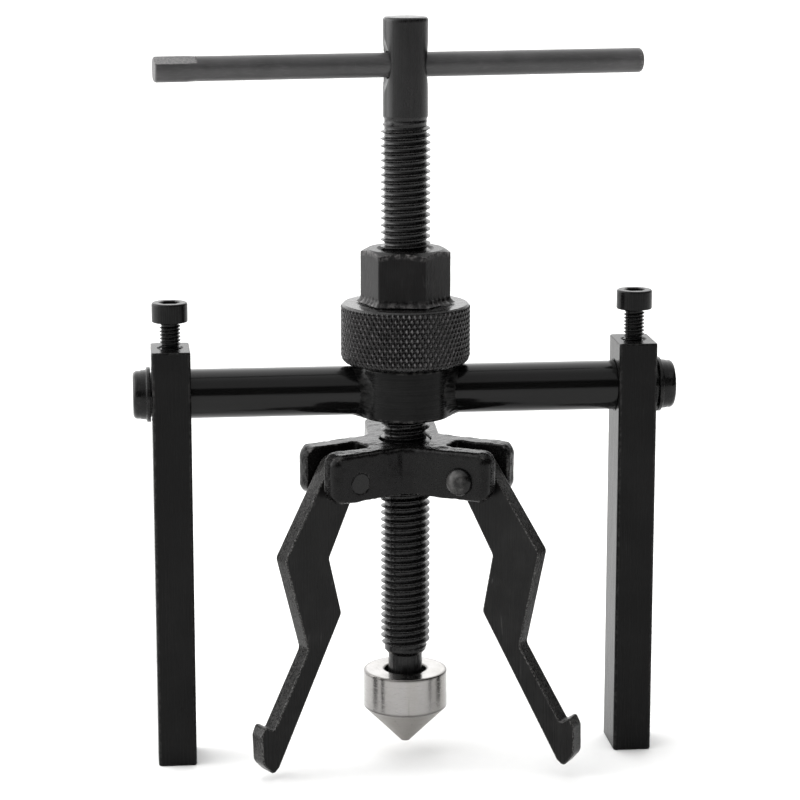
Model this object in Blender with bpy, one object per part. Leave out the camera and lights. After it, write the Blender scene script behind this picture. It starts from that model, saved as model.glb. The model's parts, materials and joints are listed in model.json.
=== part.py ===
"""Three-jaw inner puller, built as an assembly of separate named pieces.

The forcing screw runs along the Z axis and the crossbeam along X. The origin is the flat end of
the cone, and the crossbeam's axis is BEAM_Z above it. Sizes are named in millimetres and become
metres in add_object. THREAD_TOP, THREAD_BOTTOM, HEAD_TOP, HUB_TOP and CONE_TOP are heights from
the crossbeam's axis. The pieces stand as they do when the tool rests on its legs.
"""

import math

import bmesh
import bpy
from mathutils import Matrix, Vector

MM = 0.001

# ---------------------------------------------------------------- fits (mm)
SEAT_GAP = 0.3          # air left where two pieces touch or seat
RUN_CLEARANCE = 0.3     # radial clearance of a sliding or turning fit

# ---------------------------------------------------------------- forcing screw (mm)
THREAD_D = 13.9         # M14 x 2, over the crests
THREAD_PITCH = 2.0
THREAD_DEPTH = 1.2
THREAD_TOP = 75.9
THREAD_BOTTOM = -75.6
NECK_D = 9.6
HEAD_D = 12.5
HEAD_TOP = 103.8
HEAD_CHAMFER = 0.9
CROSS_HOLE_DROP = 13.0  # below the head's top
CROSS_HOLE_LIP = 2.5    # the dish round each mouth is wider than the hole by this, in radius
CROSS_HOLE_DISH = 0.9   # depth of the dish
DISH_STEP = 0.3         # height of the dish's sloping floor
HEAD_TAPER = 0.7        # length of the cone between head and thread
NECK_TAPER = 1.0        # length of the cone between neck and thread

# ---------------------------------------------------------------- T-bar (mm, degrees)
TBAR_D = 6.8
TBAR_LENGTH = 137.6
TBAR_SHIFT = -0.8       # middle of the T-bar from the screw's axis
TBAR_YAW = 7.3          # about Z
TBAR_SWAGE = 0.25       # the swaged end stands out from the bar by this
TBAR_SWAGE_LENGTH = 11.5
TBAR_SWAGE_TAPER = 3.0
TBAR_SWAGE_FLAT = 0.9
TBAR_CHAMFER = 1.0

# ---------------------------------------------------------------- crossbeam (mm)
BAR_D = 13.8
BAR_OVERHANG = 3.8      # bar beyond its stop ring
BAR_END_CHAMFER = 1.1
STOP_INNER = 71.3       # inner face of each stop ring from the screw's axis
STOP_THICK = 1.1
STOP_PROUD = 0.8        # the ring stands out from the bar by this
STOP_SEAT_DEPTH = 0.7
BOSS_D = 25.9
BOSS_LIP = 0.4          # boss above and below the bars
BOSS_CHAMFER = 0.6

# ---------------------------------------------------------------- adjusting nut (mm, degrees)
NUT_LIFT = 0.4          # air between boss and collar
COLLAR_D = 36.2
COLLAR_HEIGHT = 17.0
COLLAR_BOTTOM_CHAMFER = 2.7
COLLAR_TOP_CHAMFER = 0.9
BORE_CHAMFER = 0.8
HEX_AF = 22.0
HEX_HEIGHT = 15.0
HEX_YAW = -11.4         # azimuth of one corner
HEX_CHAMFER = 1.1

# ---------------------------------------------------------------- legs and clamp screws (mm)
LEG_WIDTH = 10.8
LEG_WALL = 1.0          # steel in front of and behind the bar's bore
LEG_ROOF = 6.2          # leg above the bar
LEG_LENGTH = 119.0
LEG_EDGE = 0.8
RIGHT_LEG_PLAY = 1.1    # air between right leg and its stop ring
CLAMP_THREAD_D = 5.9
CLAMP_THREAD_DEPTH = 0.5
CLAMP_PITCH = 1.0
CLAMP_HEAD_D = 10.0
CLAMP_HEAD_H = 5.4
CLAMP_HEAD_EDGE = 0.6
CLAMP_LENGTH = 13.3
CLAMP_SOCKET_AF = 5.0
CLAMP_SOCKET_DEPTH = 3.0
TAP_CHAMFER = 0.5       # at the mouth of the tapped hole
RIGHT_CLAMP_RAISED = 1.35

# ---------------------------------------------------------------- hub, jaws and pins (mm, degrees)
HUB_TOP = -14.0
HUB_HEIGHT = 13.8
HUB_CORE_D = 25.0
HUB_EAR = 6.1           # thickness of one ear of a clevis
HUB_REACH = 30.0
HUB_EDGE = 0.8
HUB_CORNER = 2.0
HUB_YAW = -2.5          # arms at 90 + yaw, 210 + yaw and 330 + yaw
PIVOT_R = 21.5
PIVOT_DROP = 8.4        # pivot below the hub's top
JAW_THICK = 5.4
JAW_SIDE_PLAY = 1.4      # air between a jaw and each ear
JAW_EYE_D = 13.6
JAW_EYE_MEET = 258      # where the inner edge meets the eye
JAW_SLOT_END = 0.5      # air between a jaw's eye and the end of its slot
PIN_D = 6.0
PIN_HEAD_PROUD = 0.9    # the dome stands out from the shank by this
PIN_HEAD_H = 1.7
PIN_RECESS = 0.2        # flush end of a pin below the ear's face
PIN_CHAMFER = 0.5

# ---------------------------------------------------------------- cone (mm)
CONE_D = 23.8
CONE_TOP = -81.6
CONE_CYLINDER = 10.8
CONE_TIP_D = 2.5
CONE_EDGE = 0.5
NECK_PLAY = 1.2         # the cone hangs loose on the neck
CONE_BORE_DEPTH = 13.0
CONE_BORE_DRILL = 1.2   # height of the sloping bottom of the bore
BALL_D = 4.0
RING_DROP = 4.0         # middle of the snap ring below the cone's top
RING_THICK = 1.0
RING_BITE = 0.9         # depth of the ring's groove in the cone
NECK_GROOVE = 1.3       # depth of the ring's groove in the neck

# ---------------------------------------------------------------- worked out from the above (mm)
BEAM_Z = (CONE_D - CONE_TIP_D) / 2 + CONE_CYLINDER - CONE_TOP
THREAD_BORE = THREAD_D / 2 + RUN_CLEARANCE
THREAD_ROOT = THREAD_D / 2 - THREAD_DEPTH
HEAD_HOLE_Z = BEAM_Z + HEAD_TOP - CROSS_HOLE_DROP
BAR_END = STOP_INNER + STOP_THICK + BAR_OVERHANG
BOSS_TOP = BEAM_Z + BAR_D / 2 + BOSS_LIP
BOSS_BOTTOM = BEAM_Z - BAR_D / 2 - BOSS_LIP
COLLAR_Z = BOSS_TOP + NUT_LIFT
HEX_Z = COLLAR_Z + COLLAR_HEIGHT + SEAT_GAP
LEG_DEPTH = BAR_D + 2 * (RUN_CLEARANCE + LEG_WALL)
LEG_TOP = BEAM_Z + BAR_D / 2 + LEG_ROOF
LEFT_LEG_X = -(STOP_INNER - SEAT_GAP - LEG_WIDTH / 2)
RIGHT_LEG_X = STOP_INNER - RIGHT_LEG_PLAY - LEG_WIDTH / 2
HUB_SLOT = JAW_THICK + 2 * JAW_SIDE_PLAY
HUB_ARM = HUB_SLOT + 2 * HUB_EAR
PIVOT_Z = BEAM_Z + HUB_TOP - PIVOT_DROP
CONE_FLOOR = BEAM_Z + CONE_TOP - CONE_BORE_DEPTH
NECK_END = CONE_FLOOR + BALL_D + 2 * SEAT_GAP
RING_Z = BEAM_Z + CONE_TOP - RING_DROP
RING_SLOT = RING_THICK / 2 + SEAT_GAP
ARM_YAWS = {"rear": 90 + HUB_YAW, "front_left": 210 + HUB_YAW, "front_right": 330 + HUB_YAW}
# the loose jaws hang a little apart, in degrees outward
JAW_SWINGS = {"rear": 0.0, "front_left": -2.3, "front_right": 1.0}
# how far a jaw lies along its pin towards the domed head, within the side play
JAW_SIDES = {"rear": 1.15, "front_left": 0.0, "front_right": 0.0}

# Jaw outline below the eye, as (outward, upward, corner radius) from the pivot, going down the
# outer edge, round the hook and up the inner edge.
JAW_CORNERS = (
    (20.7, -20.1, 2.0),     # outer knee
    (14.5, -47.3, 2.5),     # outer waist
    (26.7, -68.0, 0.4),     # foot of the hook's ledge
    (29.5, -66.2, 0.9),     # hook's lip
    (30.9, -69.2, 2.0),     # top of the hook's outer face
    (30.8, -77.0, 3.0),     # bottom of the hook's outer face
    (27.6, -80.7, 1.2),     # bottom of the hook
    (25.6, -79.0, 0.6),     # inner toe
    (3.2, -38.5, 2.0),      # inner waist
    (6.5, -21.9, 2.0),      # inner knee
)

# ---------------------------------------------------------------- helpers


def clear_scene():
    """Remove every object of the start-up scene."""
    for obj in list(bpy.data.objects):
        bpy.data.objects.remove(obj, do_unlink=True)


def make_material(name, colour, roughness, metallic=0.9):
    """Return a Principled material of one colour."""
    material = bpy.data.materials.new(name)
    material.use_nodes = True
    shader = material.node_tree.nodes["Principled BSDF"]
    shader.inputs["Base Color"].default_value = (*colour, 1.0)
    shader.inputs["Roughness"].default_value = roughness
    shader.inputs["Metallic"].default_value = metallic
    return material


def add_object(name, bm, origin, material=None, smooth_angle=None):
    """Turn a bmesh in world millimetres into an object whose origin is given in millimetres."""
    shift = Vector(origin)
    for vert in bm.verts:
        vert.co = (vert.co - shift) * MM
    bmesh.ops.recalc_face_normals(bm, faces=bm.faces)
    if smooth_angle is not None:
        limit = math.radians(smooth_angle)
        for face in bm.faces:
            face.smooth = True
        for edge in bm.edges:
            edge.smooth = len(edge.link_faces) == 2 and edge.calc_face_angle(0.0) < limit
    mesh = bpy.data.meshes.new(name)
    bm.to_mesh(mesh)
    bm.free()
    obj = bpy.data.objects.new(name, mesh)
    obj.location = shift * MM
    bpy.context.collection.objects.link(obj)
    if material is not None:
        mesh.materials.append(material)
    return obj


def cut(target, cutter, operation="DIFFERENCE"):
    """Add an exact Boolean with a hidden wire cutter."""
    cutter.hide_render = True
    cutter.display_type = "WIRE"
    modifier = target.modifiers.new(operation.title(), "BOOLEAN")
    modifier.operation = operation
    modifier.solver = "EXACT"
    modifier.object = cutter


def lathe(profile, segments, axis="Z", centre=(0.0, 0.0, 0.0), closed=False):
    """Spin a profile of (radius, height) pairs about an axis.

    An open profile must start and end on the axis or is capped flat; a closed one makes a ring.
    """
    bm = bmesh.new()
    rings = []
    for radius, height in profile:
        if radius < 1e-6:
            rings.append([bm.verts.new((0.0, 0.0, height))])
        else:
            rings.append([
                bm.verts.new((radius * math.cos(2 * math.pi * i / segments),
                              radius * math.sin(2 * math.pi * i / segments), height))
                for i in range(segments)])
    pairs = list(zip(rings, rings[1:]))
    if closed:
        pairs.append((rings[-1], rings[0]))
    for low, high in pairs:
        for i in range(segments):
            j = (i + 1) % segments
            if len(low) == 1 and len(high) == 1:
                continue
            if len(low) == 1:
                bm.faces.new((low[0], high[j], high[i]))
            elif len(high) == 1:
                bm.faces.new((low[i], low[j], high[0]))
            else:
                bm.faces.new((low[i], low[j], high[j], high[i]))
    if not closed:
        for ring in (rings[0], rings[-1]):
            if len(ring) > 1:
                bm.faces.new(ring)
    turn = {"Z": Matrix.Identity(4),
            "X": Matrix.Rotation(math.pi / 2, 4, "Y"),
            "Y": Matrix.Rotation(-math.pi / 2, 4, "X")}[axis]
    bmesh.ops.transform(bm, matrix=Matrix.Translation(centre) @ turn, verts=bm.verts)
    return bm


def prism(outline, low, high):
    """Extrude a closed XY outline between two heights."""
    bm = bmesh.new()
    bottom = [bm.verts.new((x, y, low)) for x, y in outline]
    top = [bm.verts.new((x, y, high)) for x, y in outline]
    count = len(outline)
    for i in range(count):
        j = (i + 1) % count
        bm.faces.new((bottom[i], bottom[j], top[j], top[i]))
    bm.faces.new(bottom[::-1])
    bm.faces.new(top)
    return bm


def box(size, centre, yaw=0.0):
    """Return a box turned about Z by yaw degrees about the origin after being centred."""
    bm = bmesh.new()
    bmesh.ops.create_cube(bm, size=1.0)
    matrix = (Matrix.Rotation(math.radians(yaw), 4, "Z") @ Matrix.Translation(centre)
              @ Matrix.Diagonal((*size, 1.0)))
    bmesh.ops.transform(bm, matrix=matrix, verts=bm.verts)
    return bm


def hexagon(across_flats, corner_azimuth):
    """Corners of a hexagon."""
    radius = across_flats / math.sqrt(3.0)
    return [(radius * math.cos(math.radians(corner_azimuth + 60 * i)),
             radius * math.sin(math.radians(corner_azimuth + 60 * i))) for i in range(6)]


def threaded_rod(lower, upper, crest_r, root_r, pitch, bottom, top, per_turn):
    """One closed solid: turned end, right-hand V thread, turned end.

    `lower` and `upper` are profiles of (radius, height) pairs away from the thread, from the
    outermost ring to the ring next to the thread; the last pair of each must have the root radius.
    """
    bm = bmesh.new()

    def ring(radius, height):
        return [bm.verts.new((radius * math.cos(2 * math.pi * i / per_turn),
                              radius * math.sin(2 * math.pi * i / per_turn), height))
                for i in range(per_turn)]

    def bridge(low, high):
        for i in range(per_turn):
            j = (i + 1) % per_turn
            bm.faces.new((low[i], low[j], high[j], high[i]))

    low_rings = [ring(r, z) for r, z in lower]
    high_rings = [ring(r, z) for r, z in upper]
    for group in (low_rings, high_rings):
        for first, second in zip(group, group[1:]):
            bridge(first, second)
        bm.faces.new(group[0])

    steps = int(math.floor((top - bottom) / pitch) * per_turn)
    rise = (top - bottom) / steps
    root, crest = [], []
    start, end = low_rings[-1], high_rings[-1]
    turns = steps - per_turn
    fade = per_turn / 2.0
    for k in range(steps + 1):
        angle = 2 * math.pi * k / per_turn
        height = bottom + rise * k
        if k == 0:
            root.append(start[0])
        elif k == steps:
            root.append(end[k % per_turn])
        else:
            root.append(bm.verts.new((root_r * math.cos(angle), root_r * math.sin(angle), height)))
    for k in range(turns + 1):
        angle = 2 * math.pi * k / per_turn
        height = bottom + rise * (k + per_turn / 2.0)
        share = min(1.0, 0.25 + k / fade, 0.25 + (turns - k) / fade)
        radius = root_r + (crest_r - root_r) * share
        crest.append(bm.verts.new((radius * math.cos(angle), radius * math.sin(angle), height)))
    for k in range(turns):
        bm.faces.new((root[k], root[k + 1], crest[k + 1], crest[k]))
        bm.faces.new((crest[k], crest[k + 1], root[k + per_turn + 1], root[k + per_turn]))
    bm.faces.new((root[0], crest[0], root[per_turn]))
    bm.faces.new((root[turns], root[steps], crest[turns]))
    # the first turn above the lower ring and the last turn below the upper ring
    bm.faces.new((start[0], start[1], root[1]))
    for k in range(1, per_turn):
        bm.faces.new((start[k], start[(k + 1) % per_turn], root[k + 1], root[k]))
    base = steps - per_turn
    for k in range(per_turn - 1):
        a, b = base + k, base + k + 1
        bm.faces.new((root[a], root[b], end[b % per_turn], end[a % per_turn]))
    bm.faces.new((root[steps - 1], root[steps], end[(steps - 1) % per_turn]))
    return bm


def arc_ring(inner_r, outer_r, low, high, gap_from, gap_to, segments, axis="Z",
             centre=(0.0, 0.0, 0.0)):
    """An open retaining ring: a flat ring missing the angles between gap_from and gap_to."""
    bm = bmesh.new()
    start, stop = math.radians(gap_to), math.radians(gap_from + 360.0)
    columns = []
    for i in range(segments + 1):
        angle = start + (stop - start) * i / segments
        c, s = math.cos(angle), math.sin(angle)
        columns.append([bm.verts.new((r * c, r * s, z))
                        for r, z in ((inner_r, low), (outer_r, low), (outer_r, high),
                                     (inner_r, high))])
    for first, second in zip(columns, columns[1:]):
        for i in range(4):
            j = (i + 1) % 4
            bm.faces.new((first[i], first[j], second[j], second[i]))
    bm.faces.new(columns[0][::-1])
    bm.faces.new(columns[-1])
    turn = {"Z": Matrix.Identity(4), "X": Matrix.Rotation(math.pi / 2, 4, "Y")}[axis]
    bmesh.ops.transform(bm, matrix=Matrix.Translation(centre) @ turn, verts=bm.verts)
    return bm


# ---------------------------------------------------------------- the forcing screw


def build_forcing_screw():
    """Screw with drilled head, thread and turned neck."""
    head, neck = HEAD_D / 2, NECK_D / 2
    groove = neck - NECK_GROOVE
    bottom, top, end = BEAM_Z + THREAD_BOTTOM, BEAM_Z + THREAD_TOP, BEAM_Z + HEAD_TOP
    lower = [(neck - HEAD_CHAMFER, NECK_END), (neck, NECK_END + HEAD_CHAMFER),
             (neck, RING_Z - RING_SLOT), (groove, RING_Z - RING_SLOT),
             (groove, RING_Z + RING_SLOT), (neck, RING_Z + RING_SLOT),
             (neck, bottom - NECK_TAPER), (THREAD_ROOT, bottom)]
    upper = [(head - HEAD_CHAMFER, end), (head, end - HEAD_CHAMFER), (head, top + HEAD_TAPER),
             (THREAD_ROOT, top)]
    bm = threaded_rod(lower, upper, THREAD_D / 2, THREAD_ROOT, THREAD_PITCH, bottom, top, 12)
    screw = add_object("forcing_screw", bm, (0, 0, HEAD_HOLE_Z),
                       make_material("screw_steel", (0.055, 0.055, 0.058), 0.45), 40)
    hole = TBAR_D / 2 + RUN_CLEARANCE
    dish = hole + CROSS_HOLE_LIP
    floor = head - CROSS_HOLE_DISH
    flare = 3.0
    profile = [(dish + flare, -head - flare), (dish, -floor), (hole, DISH_STEP - floor),
               (hole, floor - DISH_STEP), (dish, floor), (dish + flare, head + flare)]
    cutter = lathe(profile, 28, "X")
    turn = Matrix.Rotation(math.radians(TBAR_YAW), 4, "Z")
    bmesh.ops.transform(cutter, matrix=Matrix.Translation((0, 0, HEAD_HOLE_Z)) @ turn,
                        verts=cutter.verts)
    cut(screw, add_object("cross_hole_cutter", cutter, (0, 0, HEAD_HOLE_Z)))


def build_tommy_bar():
    """T-bar sliding in the head, left end swaged with a flat on top."""
    radius, swage = TBAR_D / 2, TBAR_D / 2 + TBAR_SWAGE
    left, right = TBAR_SHIFT - TBAR_LENGTH / 2, TBAR_SHIFT + TBAR_LENGTH / 2
    end = left + TBAR_SWAGE_LENGTH
    profile = [(swage - TBAR_CHAMFER / 2, left), (swage, left + TBAR_CHAMFER / 2),
               (swage, end - TBAR_SWAGE_TAPER), (radius, end), (radius, right - TBAR_CHAMFER),
               (radius - TBAR_CHAMFER, right)]
    bm = lathe(profile, 20, "X", (0, 0, HEAD_HOLE_Z))
    bmesh.ops.transform(bm, matrix=Matrix.Rotation(math.radians(TBAR_YAW), 4, "Z"),
                        verts=bm.verts)
    bar = add_object("tommy_bar", bm, (0, 0, HEAD_HOLE_Z),
                     make_material("tbar_steel", (0.065, 0.065, 0.068), 0.42), 40)
    past = 1.0
    facet = box((TBAR_SWAGE_LENGTH, 4 * swage, 2 * swage),
                (left - past + TBAR_SWAGE_LENGTH / 2, 0,
                 HEAD_HOLE_Z + 2 * swage - TBAR_SWAGE_FLAT), TBAR_YAW)
    cut(bar, add_object("tbar_flat_cutter", facet, (0, 0, HEAD_HOLE_Z)))


# ---------------------------------------------------------------- the adjusting nut


def build_adjusting_nut():
    """Hexagon and the knurled collar it is welded to."""
    bore, mouth = THREAD_BORE, THREAD_BORE + BORE_CHAMFER
    low, high = COLLAR_Z, COLLAR_Z + COLLAR_HEIGHT
    rim = COLLAR_D / 2
    profile = [(mouth, low), (rim - COLLAR_BOTTOM_CHAMFER, low), (rim, low + COLLAR_BOTTOM_CHAMFER),
               (rim, high - COLLAR_TOP_CHAMFER), (rim - COLLAR_TOP_CHAMFER, high), (mouth, high),
               (bore, high - BORE_CHAMFER), (bore, low + BORE_CHAMFER)]
    add_object("knurled_collar", lathe(profile, 40, closed=True), (0, 0, COLLAR_Z),
               make_material("collar_steel", (0.03, 0.03, 0.032), 0.5), 40)
    top = HEX_Z + HEX_HEIGHT
    corner, flat = HEX_AF / math.sqrt(3.0), HEX_AF / 2
    nut = add_object("hex_nut", prism(hexagon(HEX_AF, HEX_YAW), HEX_Z, top), (0, 0, HEX_Z),
                     make_material("nut_steel", (0.035, 0.035, 0.037), 0.42), 20)
    shell = [(mouth, top), (bore, top - BORE_CHAMFER), (bore, HEX_Z - 1), (corner + 1, HEX_Z - 1),
             (corner + 1, top - HEX_CHAMFER), (corner, top - HEX_CHAMFER),
             (flat - SEAT_GAP, top)]
    cut(nut, add_object("hex_chamfer_keeper", lathe(shell, 48, closed=True), (0, 0, HEX_Z)),
        "INTERSECT")


# ---------------------------------------------------------------- the crossbeam


def build_boss():
    """Drilled boss that the screw passes through without touching."""
    rim, bore = BOSS_D / 2, THREAD_BORE
    low, high = BOSS_BOTTOM, BOSS_TOP
    profile = [(bore + BOSS_CHAMFER, low), (rim - BOSS_CHAMFER, low), (rim, low + BOSS_CHAMFER),
               (rim, high - BOSS_CHAMFER), (rim - BOSS_CHAMFER, high), (bore + BOSS_CHAMFER, high),
               (bore, high - BOSS_CHAMFER), (bore, low + BOSS_CHAMFER)]
    add_object("centre_boss", lathe(profile, 40, closed=True), (0, 0, BEAM_Z),
               make_material("boss_steel", (0.028, 0.028, 0.03), 0.4), 40)


def build_arm(side_name, side):
    """One bar coped to the boss, with the stop ring near its end."""
    bar, seat = BAR_D / 2, BAR_D / 2 - STOP_SEAT_DEPTH
    far = STOP_INNER + STOP_THICK
    line = [(bar, BOSS_D / 4), (bar, STOP_INNER - SEAT_GAP), (seat, STOP_INNER - SEAT_GAP),
            (seat, far + SEAT_GAP), (bar, far + SEAT_GAP), (bar, BAR_END - BAR_END_CHAMFER),
            (bar - BAR_END_CHAMFER, BAR_END)]
    name = side_name + "_arm_bar"
    bm = lathe([(radius, side * x) for radius, x in line], 32, "X", (0, 0, BEAM_Z))
    arm = add_object(name, bm, (side * STOP_INNER, 0, BEAM_Z),
                     make_material(name + "_steel", (0.022, 0.022, 0.024), 0.28), 40)
    rim = BOSS_D / 2 + SEAT_GAP
    cope = lathe([(rim, BEAM_Z - BAR_D), (rim, BEAM_Z + BAR_D)], 40)
    cut(arm, add_object(name + "_cope_cutter", cope, (0, 0, BEAM_Z)))
    low, high = sorted((side * STOP_INNER, side * far))
    ring = arc_ring(seat + SEAT_GAP, bar + STOP_PROUD, low, high, 72, 108, 28, "X",
                    (0, 0, BEAM_Z))
    add_object(side_name + "_stop_ring", ring, ((low + high) / 2, 0, BEAM_Z),
               make_material(side_name + "_stop_ring_steel", (0.02, 0.02, 0.022), 0.45), 40)


# ---------------------------------------------------------------- legs and clamp screws


def leg_outline(x):
    """Plan outline of a leg with rounded vertical edges."""
    across, deep = LEG_WIDTH / 2 - LEG_EDGE, LEG_DEPTH / 2 - LEG_EDGE
    points = []
    for sx, sy, first in ((1, -1, -90), (1, 1, 0), (-1, 1, 90), (-1, -1, 180)):
        for step in (0, 45, 90):
            angle = math.radians(first + step)
            points.append((x + sx * across + LEG_EDGE * math.cos(angle),
                           sy * deep + LEG_EDGE * math.sin(angle)))
    return points


def build_leg(name, x):
    """Rectangular leg with the bar's bore and a tapped hole from the top."""
    place = (x, 0, BEAM_Z)
    leg = add_object(name, prism(leg_outline(x), LEG_TOP - LEG_LENGTH, LEG_TOP), place,
                     make_material(name + "_steel", (0.018, 0.018, 0.02), 0.42), 50)
    bore = BAR_D / 2 + RUN_CLEARANCE
    hole = lathe([(bore, -LEG_WIDTH), (bore, LEG_WIDTH)], 32, "X", place)
    cut(leg, add_object(name + "_bore_cutter", hole, place))
    tap, past = CLAMP_THREAD_D / 2 + RUN_CLEARANCE, 1.0
    hole = lathe([(tap, BEAM_Z + BAR_D / 4), (tap, LEG_TOP - TAP_CHAMFER),
                  (tap + TAP_CHAMFER + past, LEG_TOP + past)], 20, "Z", (x, 0, 0))
    cut(leg, add_object(name + "_tap_cutter", hole, place))


def build_clamp_screw(name, x, raised):
    """M6 socket head cap screw, `raised` above the place where it meets the bar."""
    tip = BEAM_Z + BAR_D / 2 + SEAT_GAP + raised
    under = tip + CLAMP_LENGTH
    top = under + CLAMP_HEAD_H
    crest = CLAMP_THREAD_D / 2
    root, head = crest - CLAMP_THREAD_DEPTH, CLAMP_HEAD_D / 2
    start = tip + CLAMP_HEAD_EDGE
    lower = [(root - CLAMP_HEAD_EDGE, tip), (root, start)]
    upper = [(head - CLAMP_HEAD_EDGE, top), (head, top - CLAMP_HEAD_EDGE), (head, under),
             (root, under)]
    bm = threaded_rod(lower, upper, crest, root, CLAMP_PITCH, start, under, 8)
    bmesh.ops.translate(bm, vec=(x, 0, 0), verts=bm.verts)
    screw = add_object(name, bm, (x, 0, under),
                       make_material(name + "_steel", (0.03, 0.03, 0.032), 0.35), 40)
    socket = prism([(x + px, py) for px, py in hexagon(CLAMP_SOCKET_AF, 0)],
                   top - CLAMP_SOCKET_DEPTH, top + 1.0)
    cut(screw, add_object(name + "_socket_cutter", socket, (x, 0, top)))


# ---------------------------------------------------------------- hub, jaws and pins


def hub_outline(inset):
    """Plan outline of the three-arm hub, pulled in by `inset`."""
    core = HUB_CORE_D / 2 - inset
    half, reach = HUB_ARM / 2 - inset, HUB_REACH - inset
    inner = math.sqrt(core * core - half * half)
    spread = math.asin(half / core)
    points = []
    for yaw in ARM_YAWS.values():
        theta = math.radians(yaw)
        c, s = math.cos(theta), math.sin(theta)
        for along, side in ((inner, -half), (reach - HUB_CORNER, -half),
                            (reach, HUB_CORNER - half), (reach, half - HUB_CORNER),
                            (reach - HUB_CORNER, half), (inner, half)):
            points.append((along * c - side * s, along * s + side * c))
        gap = math.radians(120) - 2 * spread
        for share in (0.25, 0.5, 0.75):
            angle = theta + spread + gap * share
            points.append((core * math.cos(angle), core * math.sin(angle)))
    return points


def build_hub():
    """Cast hub: three clevis arms round a tapped middle."""
    top = BEAM_Z + HUB_TOP
    bottom = top - HUB_HEIGHT
    bm = bmesh.new()
    layers = []
    for inset, height in ((HUB_EDGE, bottom), (0, bottom + HUB_EDGE), (0, top - HUB_EDGE),
                          (HUB_EDGE, top)):
        layers.append([bm.verts.new((px, py, height)) for px, py in hub_outline(inset)])
    for low, high in zip(layers, layers[1:]):
        for i in range(len(low)):
            j = (i + 1) % len(low)
            bm.faces.new((low[i], low[j], high[j], high[i]))
    bm.faces.new(layers[0])
    bm.faces.new(layers[-1])
    place = (0, 0, PIVOT_Z)
    hub = add_object("jaw_hub", bm, place,
                     make_material("hub_cast", (0.04, 0.04, 0.042), 0.6), 40)
    bore = lathe([(THREAD_BORE, bottom - HUB_EDGE), (THREAD_BORE, top + HUB_EDGE)], 32)
    cut(hub, add_object("hub_bore_cutter", bore, place))
    slot_from, slot_to = PIVOT_R - JAW_EYE_D / 2 - JAW_SLOT_END, HUB_REACH + HUB_CORNER
    eye = PIN_D / 2 + RUN_CLEARANCE
    for label, yaw in ARM_YAWS.items():
        slot = box((slot_to - slot_from, HUB_SLOT, 2 * HUB_HEIGHT),
                   ((slot_from + slot_to) / 2, 0, (top + bottom) / 2), yaw)
        cut(hub, add_object(label + "_slot_cutter", slot, place))
        hole = lathe([(eye, -HUB_ARM), (eye, HUB_ARM)], 16, "Y", (PIVOT_R, 0, PIVOT_Z))
        bmesh.ops.transform(hole, matrix=Matrix.Rotation(math.radians(yaw), 4, "Z"),
                            verts=hole.verts)
        cut(hub, add_object(label + "_pin_cutter", hole, place))


def rounded(before, corner, after, radius, steps=3):
    """Points of the arc that rounds one corner of an outline."""
    to_before, to_after = (before - corner).normalized(), (after - corner).normalized()
    half = to_before.angle(to_after) / 2
    bisector = (to_before + to_after).normalized()
    centre = corner + bisector * (radius / math.sin(half))
    start = corner + to_before * (radius / math.tan(half)) - centre
    end = corner + to_after * (radius / math.tan(half)) - centre
    turn = start.angle_signed(end)
    points = []
    for step in range(steps + 1):
        arm = start.copy()
        arm.rotate(Matrix.Rotation(-turn * step / steps, 2))
        points.append(centre + arm)
    return points


def jaw_outline():
    """Side outline of a jaw, as (outward, upward) from its pivot."""
    eye = JAW_EYE_D / 2
    corners = [Vector((x, y)) for x, y, _ in JAW_CORNERS]
    radii = [radius for _, _, radius in JAW_CORNERS]
    # the eye's arc runs from where the inner edge meets it to where the outer edge is tangent
    knee = corners[0]
    tangent = math.atan2(knee.y, knee.x) + math.acos(min(1.0, eye / knee.length))
    meet = math.radians(JAW_EYE_MEET)
    points = []
    steps = 12
    for step in range(steps + 1):
        angle = meet + (tangent - meet) * step / steps
        points.append(Vector((eye * math.cos(angle), eye * math.sin(angle))))
    chain = [points[-1]] + corners + [points[0]]
    for i, radius in enumerate(radii):
        points += rounded(chain[i], chain[i + 1], chain[i + 2], radius)
    return points


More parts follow.
